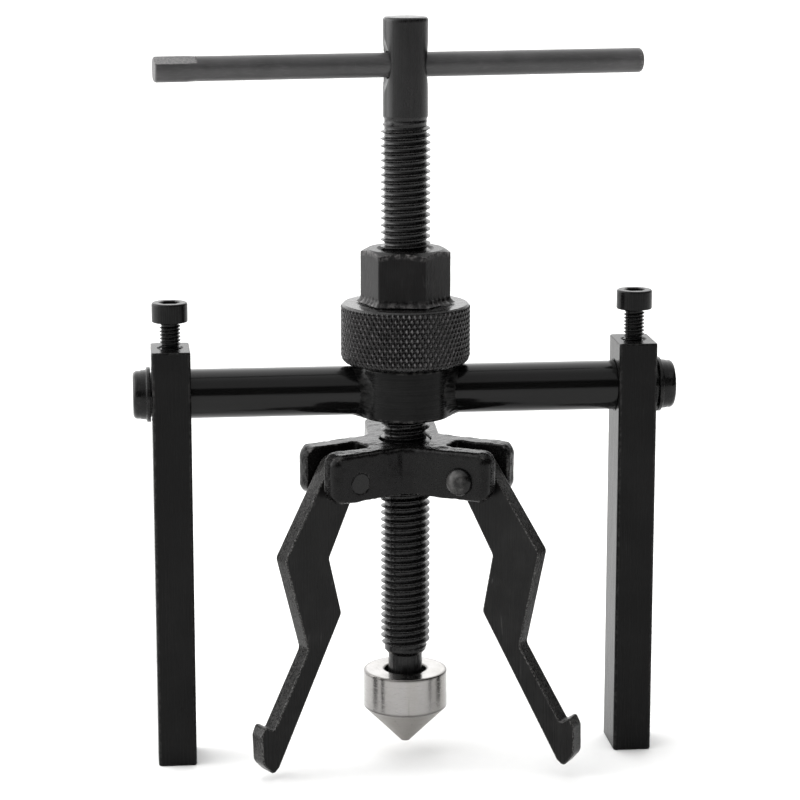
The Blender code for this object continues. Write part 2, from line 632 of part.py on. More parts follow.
def build_jaw(label, yaw):
    """One flat jaw and the riveted pin it swings on."""
    turn = Matrix.Rotation(math.radians(yaw), 4, "Z")
    pivot = turn @ Vector((PIVOT_R, 0, PIVOT_Z))
    # the outline is extruded flat, then stood up so that its second axis becomes height
    swing = Matrix.Rotation(math.radians(JAW_SWINGS[label]), 2)
    outline = [Vector((PIVOT_R, PIVOT_Z)) + swing @ point for point in jaw_outline()]
    side = JAW_SIDES[label]
    bm = prism(outline, side - JAW_THICK / 2, side + JAW_THICK / 2)
    stand = Matrix(((1, 0, 0, 0), (0, 0, -1, 0), (0, 1, 0, 0), (0, 0, 0, 1)))
    bmesh.ops.transform(bm, matrix=turn @ stand, verts=bm.verts)
    jaw = add_object(label + "_jaw", bm, pivot,
                     make_material(label + "_jaw_steel", (0.03, 0.029, 0.029), 0.5), 30)
    eye = PIN_D / 2 + RUN_CLEARANCE
    hole = lathe([(eye, -JAW_THICK), (eye, JAW_THICK)], 16, "Y", (PIVOT_R, 0, PIVOT_Z))
    bmesh.ops.transform(hole, matrix=turn, verts=hole.verts)
    cut(jaw, add_object(label + "_eye_cutter", hole, pivot))
    # domed head on the clockwise side of the arm, flush end on the other
    shank, head, face = PIN_D / 2, PIN_D / 2 + PIN_HEAD_PROUD, HUB_ARM / 2
    under, end = -face - SEAT_GAP, face - PIN_RECESS
    dome = [(head * math.sin(math.radians(a)), under - PIN_HEAD_H * math.cos(math.radians(a)))
            for a in (0, 30, 60, 90)]
    tail = [(shank, under), (shank, end - PIN_CHAMFER), (shank - PIN_CHAMFER, end), (0, end)]
    pin = lathe(dome + tail, 16, "Y", (PIVOT_R, 0, PIVOT_Z))
    bmesh.ops.transform(pin, matrix=turn, verts=pin.verts)
    add_object(label + "_pin", pin, pivot,
               make_material(label + "_pin_steel", (0.05, 0.05, 0.052), 0.5), 40)


# ---------------------------------------------------------------- the cone on the screw's neck


def build_cone():
    """Loose cone, the ball it turns on and the ring that keeps it on the neck."""
    top = BEAM_Z + CONE_TOP
    shoulder = top - CONE_CYLINDER
    rim, bore = CONE_D / 2, NECK_D / 2 + NECK_PLAY
    deep = bore + RING_BITE
    profile = [(0, 0), (CONE_TIP_D / 2, 0), (rim - CONE_EDGE, shoulder - CONE_EDGE),
               (rim, shoulder + CONE_EDGE), (rim, top - CONE_EDGE), (rim - CONE_EDGE, top),
               (bore + CONE_EDGE, top), (bore, top - CONE_EDGE), (bore, RING_Z + RING_SLOT),
               (deep, RING_Z + RING_SLOT), (deep, RING_Z - RING_SLOT), (bore, RING_Z - RING_SLOT),
               (bore, CONE_FLOOR + CONE_BORE_DRILL), (BALL_D / 2, CONE_FLOOR), (0, CONE_FLOOR)]
    add_object("cone_tip", lathe(profile, 32), (0, 0, 0),
               make_material("bright_steel", (0.62, 0.62, 0.63), 0.25, 1.0), 40)
    ball = bmesh.new()
    bmesh.ops.create_uvsphere(ball, u_segments=12, v_segments=8, radius=BALL_D / 2)
    ball_z = CONE_FLOOR + SEAT_GAP + BALL_D / 2
    bmesh.ops.translate(ball, vec=(0, 0, ball_z), verts=ball.verts)
    add_object("thrust_ball", ball, (0, 0, ball_z),
               make_material("ball_steel", (0.7, 0.7, 0.7), 0.1, 1.0), 60)
    ring = arc_ring(NECK_D / 2 - NECK_GROOVE + SEAT_GAP, deep - SEAT_GAP,
                    RING_Z - RING_THICK / 2, RING_Z + RING_THICK / 2, -15, 15, 20)
    add_object("tip_snap_ring", ring, (0, 0, RING_Z),
               make_material("spring_steel", (0.12, 0.12, 0.12), 0.4), 40)


def main():
    """Build the whole puller."""
    clear_scene()
    build_forcing_screw()
    build_tommy_bar()
    build_adjusting_nut()
    build_boss()
    build_arm("left", -1)
    build_arm("right", 1)
    build_leg("left_leg", LEFT_LEG_X)
    build_leg("right_leg", RIGHT_LEG_X)
    build_clamp_screw("left_clamp_screw", LEFT_LEG_X, 0.0)
    build_clamp_screw("right_clamp_screw", RIGHT_LEG_X, RIGHT_CLAMP_RAISED)
    build_hub()
    for label, yaw in ARM_YAWS.items():
        build_jaw(label, yaw)
    build_cone()


main()
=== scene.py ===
"""Fine surfaces, finishes and a plain studio for the inner bearing puller.

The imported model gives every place: node boxes and joints are read from the frame, and each class
below adds the detail sizes of one sub-assembly in millimetres. Surfaces are grids worked out with
numpy, in millimetres, and become metres when a piece is made.
"""

from __future__ import annotations

import json
import logging
import math
from collections.abc import Sequence
from dataclasses import dataclass
from enum import Enum

import bmesh
import bpy
import numpy as np
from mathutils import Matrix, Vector


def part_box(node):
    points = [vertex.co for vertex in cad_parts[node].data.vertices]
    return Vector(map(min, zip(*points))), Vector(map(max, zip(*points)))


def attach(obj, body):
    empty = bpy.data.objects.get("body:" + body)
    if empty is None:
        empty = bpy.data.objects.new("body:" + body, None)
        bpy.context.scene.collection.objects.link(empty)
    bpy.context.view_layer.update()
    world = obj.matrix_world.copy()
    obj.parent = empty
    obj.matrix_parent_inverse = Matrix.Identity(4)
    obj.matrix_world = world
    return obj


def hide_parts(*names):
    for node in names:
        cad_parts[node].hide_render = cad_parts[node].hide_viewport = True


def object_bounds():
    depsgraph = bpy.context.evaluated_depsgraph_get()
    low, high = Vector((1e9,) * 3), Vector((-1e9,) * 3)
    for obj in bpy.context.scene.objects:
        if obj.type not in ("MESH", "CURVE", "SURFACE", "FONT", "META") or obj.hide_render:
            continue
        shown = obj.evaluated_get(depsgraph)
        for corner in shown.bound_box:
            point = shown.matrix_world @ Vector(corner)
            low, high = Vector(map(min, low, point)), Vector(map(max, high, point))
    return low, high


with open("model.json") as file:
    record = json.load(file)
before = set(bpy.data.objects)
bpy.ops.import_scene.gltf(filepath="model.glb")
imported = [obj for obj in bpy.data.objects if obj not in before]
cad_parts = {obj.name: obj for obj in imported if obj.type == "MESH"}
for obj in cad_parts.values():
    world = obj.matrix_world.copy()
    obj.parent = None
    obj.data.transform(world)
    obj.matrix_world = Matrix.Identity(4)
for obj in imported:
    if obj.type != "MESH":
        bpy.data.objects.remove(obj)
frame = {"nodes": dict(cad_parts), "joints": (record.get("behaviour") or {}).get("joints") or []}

MM = 0.001
CAD_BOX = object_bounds()
LOG = logging.getLogger("puller")
TURN = 2.0 * math.pi
WELD_DISTANCE = 2e-7        # metres, points closer than this are one point
# The wear attribute also carries painted light: a highlight on the rivets' dome crowns and sheen on
# the T-bar's flat.
WEAR = "wear"               # attribute: 1 on rubbed edges, 0 on faces

Point = tuple[float, float, float]


# ------------------------------------------------------------------ numbers and frames


def smoothstep(value: np.ndarray | float) -> np.ndarray:
    """Ease from 0 to 1 with flat ends.

    Args:
        value: Anything; it is clipped to 0..1 first.

    Returns:
        3 t^2 - 2 t^3 of the clipped value.
    """
    t = np.clip(value, 0.0, 1.0)
    return t * t * (3.0 - 2.0 * t)


def box_mm(node: str) -> tuple[np.ndarray, np.ndarray]:
    """Return the lowest and highest corner of a frame node, in millimetres."""
    low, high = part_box(node)
    return np.array(low) / MM, np.array(high) / MM


def joint_named(name: str) -> dict:
    """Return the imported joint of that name."""
    return next(joint for joint in frame["joints"] if joint["name"] == name)


def lumps(points: np.ndarray, size: float, seed: int) -> np.ndarray:
    """Smooth random lumps over space, the same on every run.

    Each lattice cell corner gets a number from an integer hash of its three indices, and a point
    takes the smoothly weighted mean of the eight corners round it.

    Args:
        points: n x 3 places in millimetres.
        size: Edge of a lattice cell in millimetres.
        seed: Chooses the pattern.

    Returns:
        n values from -1 to 1.
    """
    cell = np.floor(points / size).astype(np.int64)
    share = smoothstep(points / size - cell)
    total = np.zeros(len(points))
    for corner in range(8):
        offset = np.array([corner & 1, corner >> 1 & 1, corner >> 2 & 1])
        key = (cell + offset) @ np.array([73856093, 19349663, 83492791]) + seed * 2654435761
        key = (key ^ (key >> 13)) * 1274126177 & 0xFFFFFFFF
        key = (key ^ (key >> 16)) * 2246822519 & 0xFFFFFFFF
        weight = np.prod(np.where(offset == 1, share, 1.0 - share), axis=1)
        total += weight * ((key ^ (key >> 15)) / 0xFFFFFFFF * 2.0 - 1.0)
    return total


@dataclass(frozen=True)
class Placement:
    """A right-handed local frame.

    Attributes:
        origin: Its origin in millimetres.
        u: Its first unit direction.
        v: Its second unit direction.
        w: Its third unit direction.
    """

    origin: Point = (0.0, 0.0, 0.0)
    u: Point = (1.0, 0.0, 0.0)
    v: Point = (0.0, 1.0, 0.0)
    w: Point = (0.0, 0.0, 1.0)

    def carry(self, local: np.ndarray) -> np.ndarray:
        """Return local points as points of the frame: origin + a u + b v + c w."""
        return np.array(self.origin) + local @ np.array([self.u, self.v, self.w])

    @staticmethod
    def along(direction: Sequence[float], origin: Point) -> Placement:
        """Lay a frame along a horizontal direction, with v pointing up.

        Args:
            direction: The direction; only its first two numbers count.
            origin: The frame's origin in millimetres.

        Returns:
            The frame, whose w is the direction.
        """
        dx, dy = direction[0], direction[1]
        length = math.hypot(dx, dy)
        w = (dx / length, dy / length, 0.0)
        return Placement(origin, (-w[1], w[0], 0.0), (0.0, 0.0, 1.0), w)


# ------------------------------------------------------------------ surfaces


@dataclass
class Skin:
    """A closed skin in millimetres.

    Attributes:
        points: n x 3 places.
        faces: Arrays of point numbers, one row for each face.
        wear: How rubbed each point is, 0 to 1.
    """

    points: np.ndarray
    faces: list[np.ndarray]
    wear: np.ndarray

    def placed(self, placement: Placement) -> Skin:
        """Return this skin carried into a frame."""
        return Skin(placement.carry(self.points), self.faces, self.wear)


def rounded(corners: Sequence[tuple[float, float, float]], closed: bool,
            steps: int = 6) -> tuple[np.ndarray, np.ndarray]:
    """Round the corners of a flat line.

    At each corner the arc of the given radius touches both sides: its ends lie radius / tan(half
    the corner's angle) along them, and its points are spread evenly by angle.

    Args:
        corners: (x, y, radius) of each corner; radius 0 keeps it sharp.
        closed: Whether the last corner joins the first.
        steps: Pieces in each arc.

    Returns:
        The points, and 1 for each point on an arc that turns left (a convex edge), else 0.
    """
    count = len(corners)
    points, flags = [], []
    for index, (x, y, radius) in enumerate(corners):
        corner = np.array([x, y])
        ends = not closed and index in (0, count - 1)
        if ends or radius <= 0.0:
            points.append(corner[None, :])
            flags.append(np.zeros(1))
            continue
        before = np.array(corners[index - 1][:2]) - corner
        after = np.array(corners[(index + 1) % count][:2]) - corner
        before /= np.linalg.norm(before)
        after /= np.linalg.norm(after)
        half = math.acos(float(np.clip(before @ after, -1.0, 1.0))) / 2.0
        middle = (before + after) / np.linalg.norm(before + after)
        centre = corner + middle * radius / math.sin(half)
        start = corner + before * radius / math.tan(half) - centre
        turn = math.pi - 2.0 * half
        left = after[0] * before[1] - after[1] * before[0] > 0.0
        angles = np.linspace(0.0, turn if left else -turn, steps + 1)
        cos, sin = np.cos(angles), np.sin(angles)
        arc = np.stack([start[0] * cos - start[1] * sin, start[0] * sin + start[1] * cos], axis=1)
        points.append(centre + arc)
        flags.append(np.full(steps + 1, 1.0 if left else 0.0))
    return np.concatenate(points), np.concatenate(flags)


def grid_faces(rows: int, columns: int, rows_wrap: bool = False) -> np.ndarray:
    """Faces of a grid whose columns wrap round.

    Args:
        rows: Number of rings.
        columns: Points in each ring.
        rows_wrap: Whether the last ring joins the first.

    Returns:
        One row of four point numbers for each face.
    """
    last = rows if rows_wrap else rows - 1
    low = np.arange(last)[:, None] * columns
    high = (np.arange(1, last + 1) % rows)[:, None] * columns
    here = np.arange(columns)[None, :]
    there = (here + 1) % columns
    return np.stack([low + here, low + there, high + there, high + here], axis=-1).reshape(-1, 4)


def turned(profile: np.ndarray, flags: np.ndarray, columns: int, ring: bool = False) -> Skin:
    """Spin a profile about w: x = r cos a, y = r sin a, z = height.

    Args:
        profile: n x 2 (radius, height), bottom to top up the outside.
        flags: Wear of each profile point.
        columns: Points round.
        ring: Whether the profile is a closed loop, which makes a holed piece.

    Returns:
        The closed skin, with flat caps where an open profile ends off the axis.
    """
    angle = np.arange(columns)[None, :] * TURN / columns
    radius = np.repeat(profile[:, :1], columns, axis=1)
    height = np.repeat(profile[:, 1:], columns, axis=1)
    points = np.stack([radius * np.cos(angle), radius * np.sin(angle), height], axis=-1)
    faces = [grid_faces(len(profile), columns, ring)]
    if not ring:
        faces.append(np.arange(columns)[None, ::-1])
        faces.append(np.arange(columns)[None, :] + (len(profile) - 1) * columns)
    return Skin(points.reshape(-1, 3), faces, np.repeat(flags, columns))


def inset_outline(outline: np.ndarray, inset: float) -> np.ndarray:
    """Move each point of a counter-clockwise outline inward by an even distance.

    The step is along the mean of the two neighbouring side normals, lengthened by one over the
    cosine of half the turn so that the sides move by the inset.

    Args:
        outline: Counter-clockwise n x 2 outline.
        inset: How far the sides move inward.

    Returns:
        The moved outline.
    """
    side = np.roll(outline, -1, axis=0) - outline
    side /= np.linalg.norm(side, axis=1)[:, None]
    normal = np.stack([-side[:, 1], side[:, 0]], axis=1)
    mean = normal + np.roll(normal, 1, axis=0)
    mean /= np.linalg.norm(mean, axis=1)[:, None]
    stretch = np.maximum(np.sum(mean * normal, axis=1), 0.5)
    return outline + mean * (inset / stretch)[:, None]


def plate(outline: np.ndarray, low: float, high: float, edge: float, steps: int = 4,
          corners: np.ndarray | None = None, side_wear: float = 0.0) -> Skin:
    """Carry an outline through a thickness, with both rims rounded by a quarter circle.

    Args:
        outline: Counter-clockwise n x 2 outline without repeated points.
        low: Lower face.
        high: Upper face.
        edge: Radius of the rims.
        steps: Pieces in each quarter circle.
        corners: Wear of each outline point, or none.
        side_wear: Wear of the whole side wall.

    Returns:
        The closed skin, worn on its rims and corners.
    """
    quarter = np.linspace(0.0, math.pi / 2.0, steps + 1)
    insets = edge * (1.0 - np.sin(quarter))
    rises = edge * (1.0 - np.cos(quarter))
    flat = 1.25 * edge
    half = np.concatenate([[flat], insets, [0.0, 0.0]])
    rise = np.concatenate([[0.0], rises, [1.3 * edge, 2.0 * edge]])
    flags = np.concatenate([[0.0], np.ones(steps + 1), [side_wear, side_wear]])
    insets = np.concatenate([half, half[::-1]])
    heights = np.concatenate([low + rise, (high - rise)[::-1]])
    flags = np.concatenate([flags, flags[::-1]])
    count = len(outline)
    points = np.concatenate([
        np.column_stack([inset_outline(outline, inset), np.full(count, height)])
        for inset, height in zip(insets, heights)])
    wall = np.zeros(count) if corners is None else corners
    wear = np.maximum(flags[:, None], wall[None, :] * (insets[:, None] < flat))
    faces = [grid_faces(len(heights), count), np.arange(count)[None, ::-1],
             np.arange(count)[None, :] + (len(heights) - 1) * count]
    return Skin(points, faces, wear.ravel())


@dataclass(frozen=True)
class Thread:
    """A right-hand thread cut on a cylinder.

    Attributes:
        crest: Radius over the crests.
        root: Radius in the roots.
        pitch: Rise in one turn.
        fade: Length over which the thread starts and ends.
        section: (share of the pitch, share of the depth) of one turn, from root to root.
    """

    crest: float
    root: float
    pitch: float
    fade: float
    section: tuple[tuple[float, float], ...] = (
        (0.0, 0.0), (0.16, 0.0), (0.26, 0.1), (0.44, 0.78), (0.49, 1.0), (0.57, 1.0),
        (0.62, 0.78), (0.80, 0.1), (0.90, 0.0))

    def skin(self, below: np.ndarray, above: np.ndarray, columns: int) -> Skin:
        """Return a threaded rod as one closed skin.

        Between the plain ends each row of the grid climbs with the helix: its height is the
        bottom + pitch (s - 1 + a / full turn) for row s, held between the two ends, and its
        radius is the section's, faded towards both ends. The last column meets the first one
        turn higher.

        Args:
            below: n x 2 (radius, height) up to the start, ending at the root.
            above: The same from the thread's end, starting at the root.
            columns: Points round.

        Returns:
            The rod, worn on the thread's crests.
        """
        bottom, top = below[-1, 1], above[0, 1]
        share, depth = np.array(self.section).T
        per_turn = len(share)
        turns = int(math.ceil((top - bottom) / self.pitch)) + 2
        rise = (np.arange(turns)[:, None] + share[None, :]).reshape(-1, 1)
        depth = np.tile(depth, turns)[:, None]
        angle = np.arange(columns)[None, :] * TURN / columns
        height = bottom + self.pitch * (rise - 1.0 + angle / TURN)
        ends = smoothstep((height - bottom) / self.fade) * smoothstep((top - height) / self.fade)
        radius = self.root + (self.crest - self.root) * depth * ends
        height = np.clip(height, bottom, top)
        rows = len(rise)
        wear = np.repeat((depth[:, 0] > 0.95).astype(float), columns)
        thread = np.stack([radius * np.cos(angle), radius * np.sin(angle), height], axis=-1)
        low = turned(below, np.zeros(len(below)), columns)
        high = turned(above, np.zeros(len(above)), columns)
        quads = grid_faces(rows, columns).reshape(rows - 1, columns, 4)
        last, row = columns - 1, np.arange(rows - 1)
        quads[:, last, 1] = np.minimum(row + per_turn, rows - 1) * columns
        quads[:, last, 2] = np.minimum(row + 1 + per_turn, rows - 1) * columns
        start, end = len(low.points), len(low.points) + rows * columns
        return Skin(
            np.concatenate([low.points, thread.reshape(-1, 3), high.points]),
            [low.faces[0], low.faces[1], quads.reshape(-1, 4) + start,
             high.faces[0] + end, high.faces[2] + end],
            np.concatenate([low.wear, wear, high.wear]))


# ------------------------------------------------------------------ finishes


class Grain(Enum):
    """Direction in which a finish is streaked, as the size of a streak along x, y and z."""

    NONE = (1.0, 1.0, 1.0)
    ALONG_X = (30.0, 1.0, 1.0)
    ALONG_Z = (1.0, 1.0, 30.0)
    ROUND_Z = (30.0, 30.0, 1.0)


class NodeSheet:
    """Small helper that lays out one material's nodes."""

    def __init__(self, name: str) -> None:
        """Start a Principled material.

        Args:
            name: The material's name.
        """
        self.material = bpy.data.materials.new(name)
        self.material.use_nodes = True
        self.tree = self.material.node_tree
        self.shader = self.tree.nodes["Principled BSDF"]
        self.place = self.add("ShaderNodeTexCoord").outputs["Object"]

    def add(self, kind: str, **settings: object) -> bpy.types.Node:
        """Add one node.

        Args:
            kind: The node's type.
            **settings: Properties to set on it.

        Returns:
            The new node.
        """
        node = self.tree.nodes.new(kind)
        for key, value in settings.items():
            setattr(node, key, value)
        return node

    def put(self, socket: bpy.types.NodeSocket, value: object) -> None:
        """Feed a socket.

        Args:
            socket: The input.
            value: An output to link into it, or a plain value to set on it.
        """
        if isinstance(value, bpy.types.NodeSocket):
            self.tree.links.new(value, socket)
        else:
            socket.default_value = value

    def noise(self, size: float, detail: float = 4.0, rough: float = 0.55,
              grain: Grain = Grain.NONE) -> bpy.types.NodeSocket:
        """Lay out noise streaked along the grain.

        Args:
            size: Size of a lump in millimetres.
            detail: Number of finer layers.
            rough: Weight of each finer layer.
            grain: Direction of the streaks.

        Returns:
            The noise, about 0.2 to 0.8.
        """
        mapping = self.add("ShaderNodeMapping")
        self.put(mapping.inputs["Vector"], self.place)
        self.put(mapping.inputs["Scale"], tuple(1.0 / (size * MM * s) for s in grain.value))
        node = self.add("ShaderNodeTexNoise", noise_dimensions="3D")
        self.put(node.inputs["Vector"], mapping.outputs["Vector"])
        self.put(node.inputs["Scale"], 1.0)
        self.put(node.inputs["Detail"], detail)
        self.put(node.inputs["Roughness"], rough)
        return node.outputs["Fac"]

    def ramp(self, value: object, low: float, high: float, to_low: float = 0.0,
             to_high: float = 1.0) -> bpy.types.NodeSocket:
        """Carry a value smoothly from one range to another, clamped.

        Args:
            value: The value or its socket.
            low: Value that becomes to_low.
            high: Value that becomes to_high.
            to_low: Result at the low end.
            to_high: Result at the high end.

        Returns:
            The carried value.
        """
        node = self.add("ShaderNodeMapRange", interpolation_type="SMOOTHSTEP", clamp=True)
        for name, number in zip(("From Min", "From Max", "To Min", "To Max"),
                                (low, high, to_low, to_high)):
            self.put(node.inputs[name], number)
        self.put(node.inputs["Value"], value)
        return node.outputs["Result"]

    def maths(self, operation: str, first: object, second: object) -> bpy.types.NodeSocket:
        """Lay out one Math node.

        Args:
            operation: Name of the operation.
            first: First value or socket.
            second: Second value or socket.

        Returns:
            Its result.
        """
        node = self.add("ShaderNodeMath", operation=operation)
        self.put(node.inputs[0], first)
        self.put(node.inputs[1], second)
        return node.outputs["Value"]

    def mix(self, share: object, first: object, second: object) -> bpy.types.NodeSocket:
        """Lay out a mix of two colours.

        Args:
            share: Share of the second colour.
            first: First colour or its socket.
            second: Second colour or its socket.

        Returns:
            The mixed colour.
        """
        node = self.add("ShaderNodeMix", data_type="RGBA")
        self.put(node.inputs["Factor"], share)
        colours = [socket for socket in node.inputs if socket.type == "RGBA"]
        for socket, value in zip(colours, (first, second)):
            self.put(socket, value if isinstance(value, bpy.types.NodeSocket) else (*value, 1.0))
        return next(socket for socket in node.outputs if socket.type == "RGBA")

    def bump(self, height: object, depth: float, strength: float,
             under: bpy.types.NodeSocket | None = None) -> bpy.types.NodeSocket:
        """Lay out a bump.

        Args:
            height: The relief, 0 to 1.
            depth: Depth of the relief in millimetres.
            strength: How strongly it shows.
            under: Normal that it is laid over, if any.

        Returns:
            The bumped normal.
        """
        node = self.add("ShaderNodeBump")
        self.put(node.inputs["Strength"], strength)
        self.put(node.inputs["Distance"], depth * MM)
        self.put(node.inputs["Height"], height)
        if under is not None:
            self.put(node.inputs["Normal"], under)
        return node.outputs["Normal"]


@dataclass(frozen=True)
class BlackSteel:
    """Blackened steel: a dark film that is mottled, streaked, scratched and rubbed at edges.

    Attributes:
        name: The material's name.
        dark: Colour of the film.
        light: Colour of its paler patches.
        patch: Size of the patches in millimetres.
        patchy: How pale the patches are, 0 to 1.
        speckled: How pale the fine specks are, 0 to 1.
        roughness: Mean roughness.
        spread: Change of the roughness either way.
        specular: Strength of the film's reflection.
        grain: Direction of the machining streaks.
        streak: Width of a streak in millimetres.
        pits: Size of the surface's grain in millimetres.
        relief: Depth of that grain in millimetres.
        scratches: How many fine scratches show, 0 to 1.
        rubbed: Colour of the steel where the film is rubbed off, and of the painted highlight where
            a piece marks one with wear.
        rub: How far the edges are rubbed, and how strong a painted highlight is, 0 to 1.
        chip: Size of the chips that the rubbing leaves, in millimetres.
    """

    name: str
    dark: Point
    light: Point
    patch: float = 6.0
    patchy: float = 0.5
    speckled: float = 0.12
    roughness: float = 0.42
    spread: float = 0.08
    specular: float = 0.16
    grain: Grain = Grain.NONE
    streak: float = 0.35
    pits: float = 0.5
    relief: float = 0.03
    scratches: float = 0.3
    rubbed: Point = (0.16, 0.155, 0.15)
    rub: float = 0.4
    chip: float = 1.4

    def make(self) -> bpy.types.Material:
        """Lay out the finish: film, streaks and specks, then scratches, then rubbed edges.

        Returns:
            The material.
        """
        sheet = NodeSheet(self.name)
        patches = sheet.ramp(sheet.noise(self.patch, 4.0, 0.55), 0.35, 0.75, 0.0, self.patchy)
        speckle = sheet.ramp(sheet.noise(0.45, 3.0, 0.7), 0.5, 0.8, 0.0, self.speckled)
        streaks = sheet.noise(self.streak, 3.0, 0.6, self.grain)
        lines_tone = sheet.ramp(streaks, 0.45, 0.75, 0.0, 0.35)
        tone = sheet.maths("MAXIMUM", sheet.maths("ADD", patches, lines_tone), speckle)
        colour = sheet.mix(tone, self.dark, self.light)
        marks = self._scratches(sheet)
        colour = sheet.mix(sheet.maths("MULTIPLY", marks, 0.6), colour, self.rubbed)
        # Rubbed edges; the same mix also paints light where a piece marks it: the highlight on the
        # rivets' dome crowns and the sheen on the T-bar's flat.
        worn = sheet.add("ShaderNodeAttribute", attribute_name=WEAR).outputs["Fac"]
        broken = sheet.ramp(sheet.noise(self.chip, 4.0, 0.65), 0.42, 0.66)
        edge = sheet.maths("MULTIPLY", sheet.maths("MULTIPLY", worn, broken), self.rub)
        colour = sheet.mix(edge, colour, self.rubbed)
        sheet.put(sheet.shader.inputs["Base Color"], colour)
        rough = sheet.ramp(streaks, 0.3, 0.7, self.roughness - self.spread,
                           self.roughness + self.spread)
        sheet.put(sheet.shader.inputs["Roughness"], rough)
        sheet.put(sheet.shader.inputs["Specular IOR Level"], self.specular)
        grain = sheet.bump(sheet.noise(self.pits, 4.0, 0.6), self.relief, 0.7)
        lines = sheet.bump(streaks, self.relief * 0.5, 0.5, grain)
        cuts = sheet.bump(sheet.maths("SUBTRACT", 1.0, marks), 0.015, 0.5, lines)
        sheet.put(sheet.shader.inputs["Normal"], cuts)
        return sheet.material

    def _scratches(self, sheet: NodeSheet) -> bpy.types.NodeSocket:
        """Lay out thin broken lines: the edges between large turned and stretched cells.

        Args:
            sheet: The material that they belong to.

        Returns:
            1 on a line, 0 beside it.
        """
        found = None
        for index, turn in enumerate((0.5, 2.1)):
            mapping = sheet.add("ShaderNodeMapping")
            sheet.put(mapping.inputs["Vector"], sheet.place)
            sheet.put(mapping.inputs["Rotation"], (turn, 0.6 * turn, 0.3 + turn))
            sheet.put(mapping.inputs["Scale"], (1.0, 1.0, 0.12))
            cells = sheet.add("ShaderNodeTexVoronoi", feature="DISTANCE_TO_EDGE")
            sheet.put(cells.inputs["Vector"], mapping.outputs["Vector"])
            sheet.put(cells.inputs["Scale"], 90.0 + 50.0 * index)
            line = sheet.ramp(cells.outputs["Distance"], 0.0, 0.012, 1.0, 0.0)
            gate = sheet.ramp(sheet.noise(7.0 + 3.0 * index, 2.0), 0.62 - 0.12 * self.scratches,
                              0.7 - 0.1 * self.scratches)
            line = sheet.maths("MULTIPLY", line, gate)
            found = line if found is None else sheet.maths("MAXIMUM", found, line)
        return sheet.maths("MULTIPLY", found, self.scratches)


@dataclass(frozen=True)
class BrightSteel:
    """Bare turned steel with fine rings and a faint coloured passivation.

    Attributes:
        name: The material's name.
        colour: Colour of the metal.
        tint: Colour of the faint film in patches.
        roughness: Roughness above the shoulder.
        matt: Roughness below the shoulder.
        shoulder: Height in millimetres where the matt part starts.
        rings: Width of a turning ring in millimetres.
        dulled: Colour of the matt part.
        streaked: Colour of the upright streaks.
        smudged: Colour of the smudges.
        darkened: Colour of the rubbed rims.
    """

    name: str
    colour: Point
    tint: Point
    roughness: float
    matt: float
    shoulder: float
    rings: float = 0.18
    dulled: Point = (0.29, 0.275, 0.255)
    streaked: Point = (0.16, 0.155, 0.15)
    smudged: Point = (0.2, 0.195, 0.19)
    darkened: Point = (0.09, 0.085, 0.08)

    def make(self) -> bpy.types.Material:
        """Lay out the finish: metal and film, streaks and smudges, then rings in the relief.

        Returns:
            The material.
        """
        sheet = NodeSheet(self.name)
        parts = sheet.add("ShaderNodeSeparateXYZ")
        sheet.put(parts.inputs["Vector"], sheet.place)
        matt = sheet.ramp(parts.outputs["Z"], (self.shoulder - 0.4) * MM, self.shoulder * MM,
                          1.0, 0.0)
        film = sheet.ramp(sheet.noise(7.0, 3.0, 0.5, Grain.ALONG_Z), 0.35, 0.75)
        colour = sheet.mix(film, self.colour, self.tint)
        colour = sheet.mix(sheet.maths("MULTIPLY", matt, 0.6), colour, self.dulled)
        streaks = sheet.ramp(sheet.noise(1.1, 2.0, 0.5, Grain.ALONG_Z), 0.6, 0.74, 0.0, 0.35)
        colour = sheet.mix(streaks, colour, self.streaked)
        smudge = sheet.ramp(sheet.noise(3.0, 6.0, 0.7), 0.55, 0.8, 0.0, 0.3)
        colour = sheet.mix(smudge, colour, self.smudged)
        rim = sheet.add("ShaderNodeAttribute", attribute_name=WEAR).outputs["Fac"]
        colour = sheet.mix(sheet.maths("MULTIPLY", rim, 0.75), colour, self.darkened)
        sheet.put(sheet.shader.inputs["Base Color"], colour)
        sheet.put(sheet.shader.inputs["Metallic"], 1.0)
        rings = sheet.noise(self.rings, 3.0, 0.7, Grain.ROUND_Z)
        rough = sheet.ramp(rings, 0.3, 0.7, self.roughness - 0.05, self.roughness + 0.06)
        step = sheet.maths("MULTIPLY", matt, self.matt - self.roughness)
        sheet.put(sheet.shader.inputs["Roughness"], sheet.maths("ADD", rough, step))
        fine = sheet.bump(rings, 0.006, 0.5)
        sheet.put(sheet.shader.inputs["Normal"],
                  sheet.bump(sheet.noise(0.25, 3.0), 0.004, 0.3, fine))
        return sheet.material


SCREW_BLACK = BlackSteel("screw black", (0.0042, 0.004, 0.0041), (0.013, 0.0125, 0.013), patch=9.0,
                         roughness=0.27, specular=0.26, grain=Grain.ALONG_Z, streak=0.8,
                         relief=0.012, scratches=0.1, rub=0.22, rubbed=(0.12, 0.117, 0.115))
# Its rubbed colour on the pressed flat is partly painted sheen of a top facet.
TBAR_BLACK = BlackSteel("t-bar charcoal", (0.04, 0.0395, 0.04), (0.085, 0.082, 0.084), patch=14.0,
                        roughness=0.42, specular=0.35, grain=Grain.ALONG_X, scratches=0.1,
                        rub=0.4, chip=0.5, rubbed=(0.26, 0.25, 0.245))
NUT_BLACK = BlackSteel("nut black", (0.0034, 0.0031, 0.0032), (0.0095, 0.009, 0.0092), patch=5.0,
                       speckled=0.1, roughness=0.27, specular=0.1, grain=Grain.ALONG_Z,
                       streak=0.6, relief=0.007, scratches=0.1, rub=0.6, rubbed=(0.2, 0.19, 0.19))
COLLAR_BLACK = BlackSteel("collar black", (0.0036, 0.0034, 0.0035), (0.014, 0.013, 0.013),
                          patch=3.0, speckled=0.3, roughness=0.24, specular=0.3, pits=0.3,
                          relief=0.02, scratches=0.0, rub=0.8, rubbed=(0.17, 0.16, 0.165))
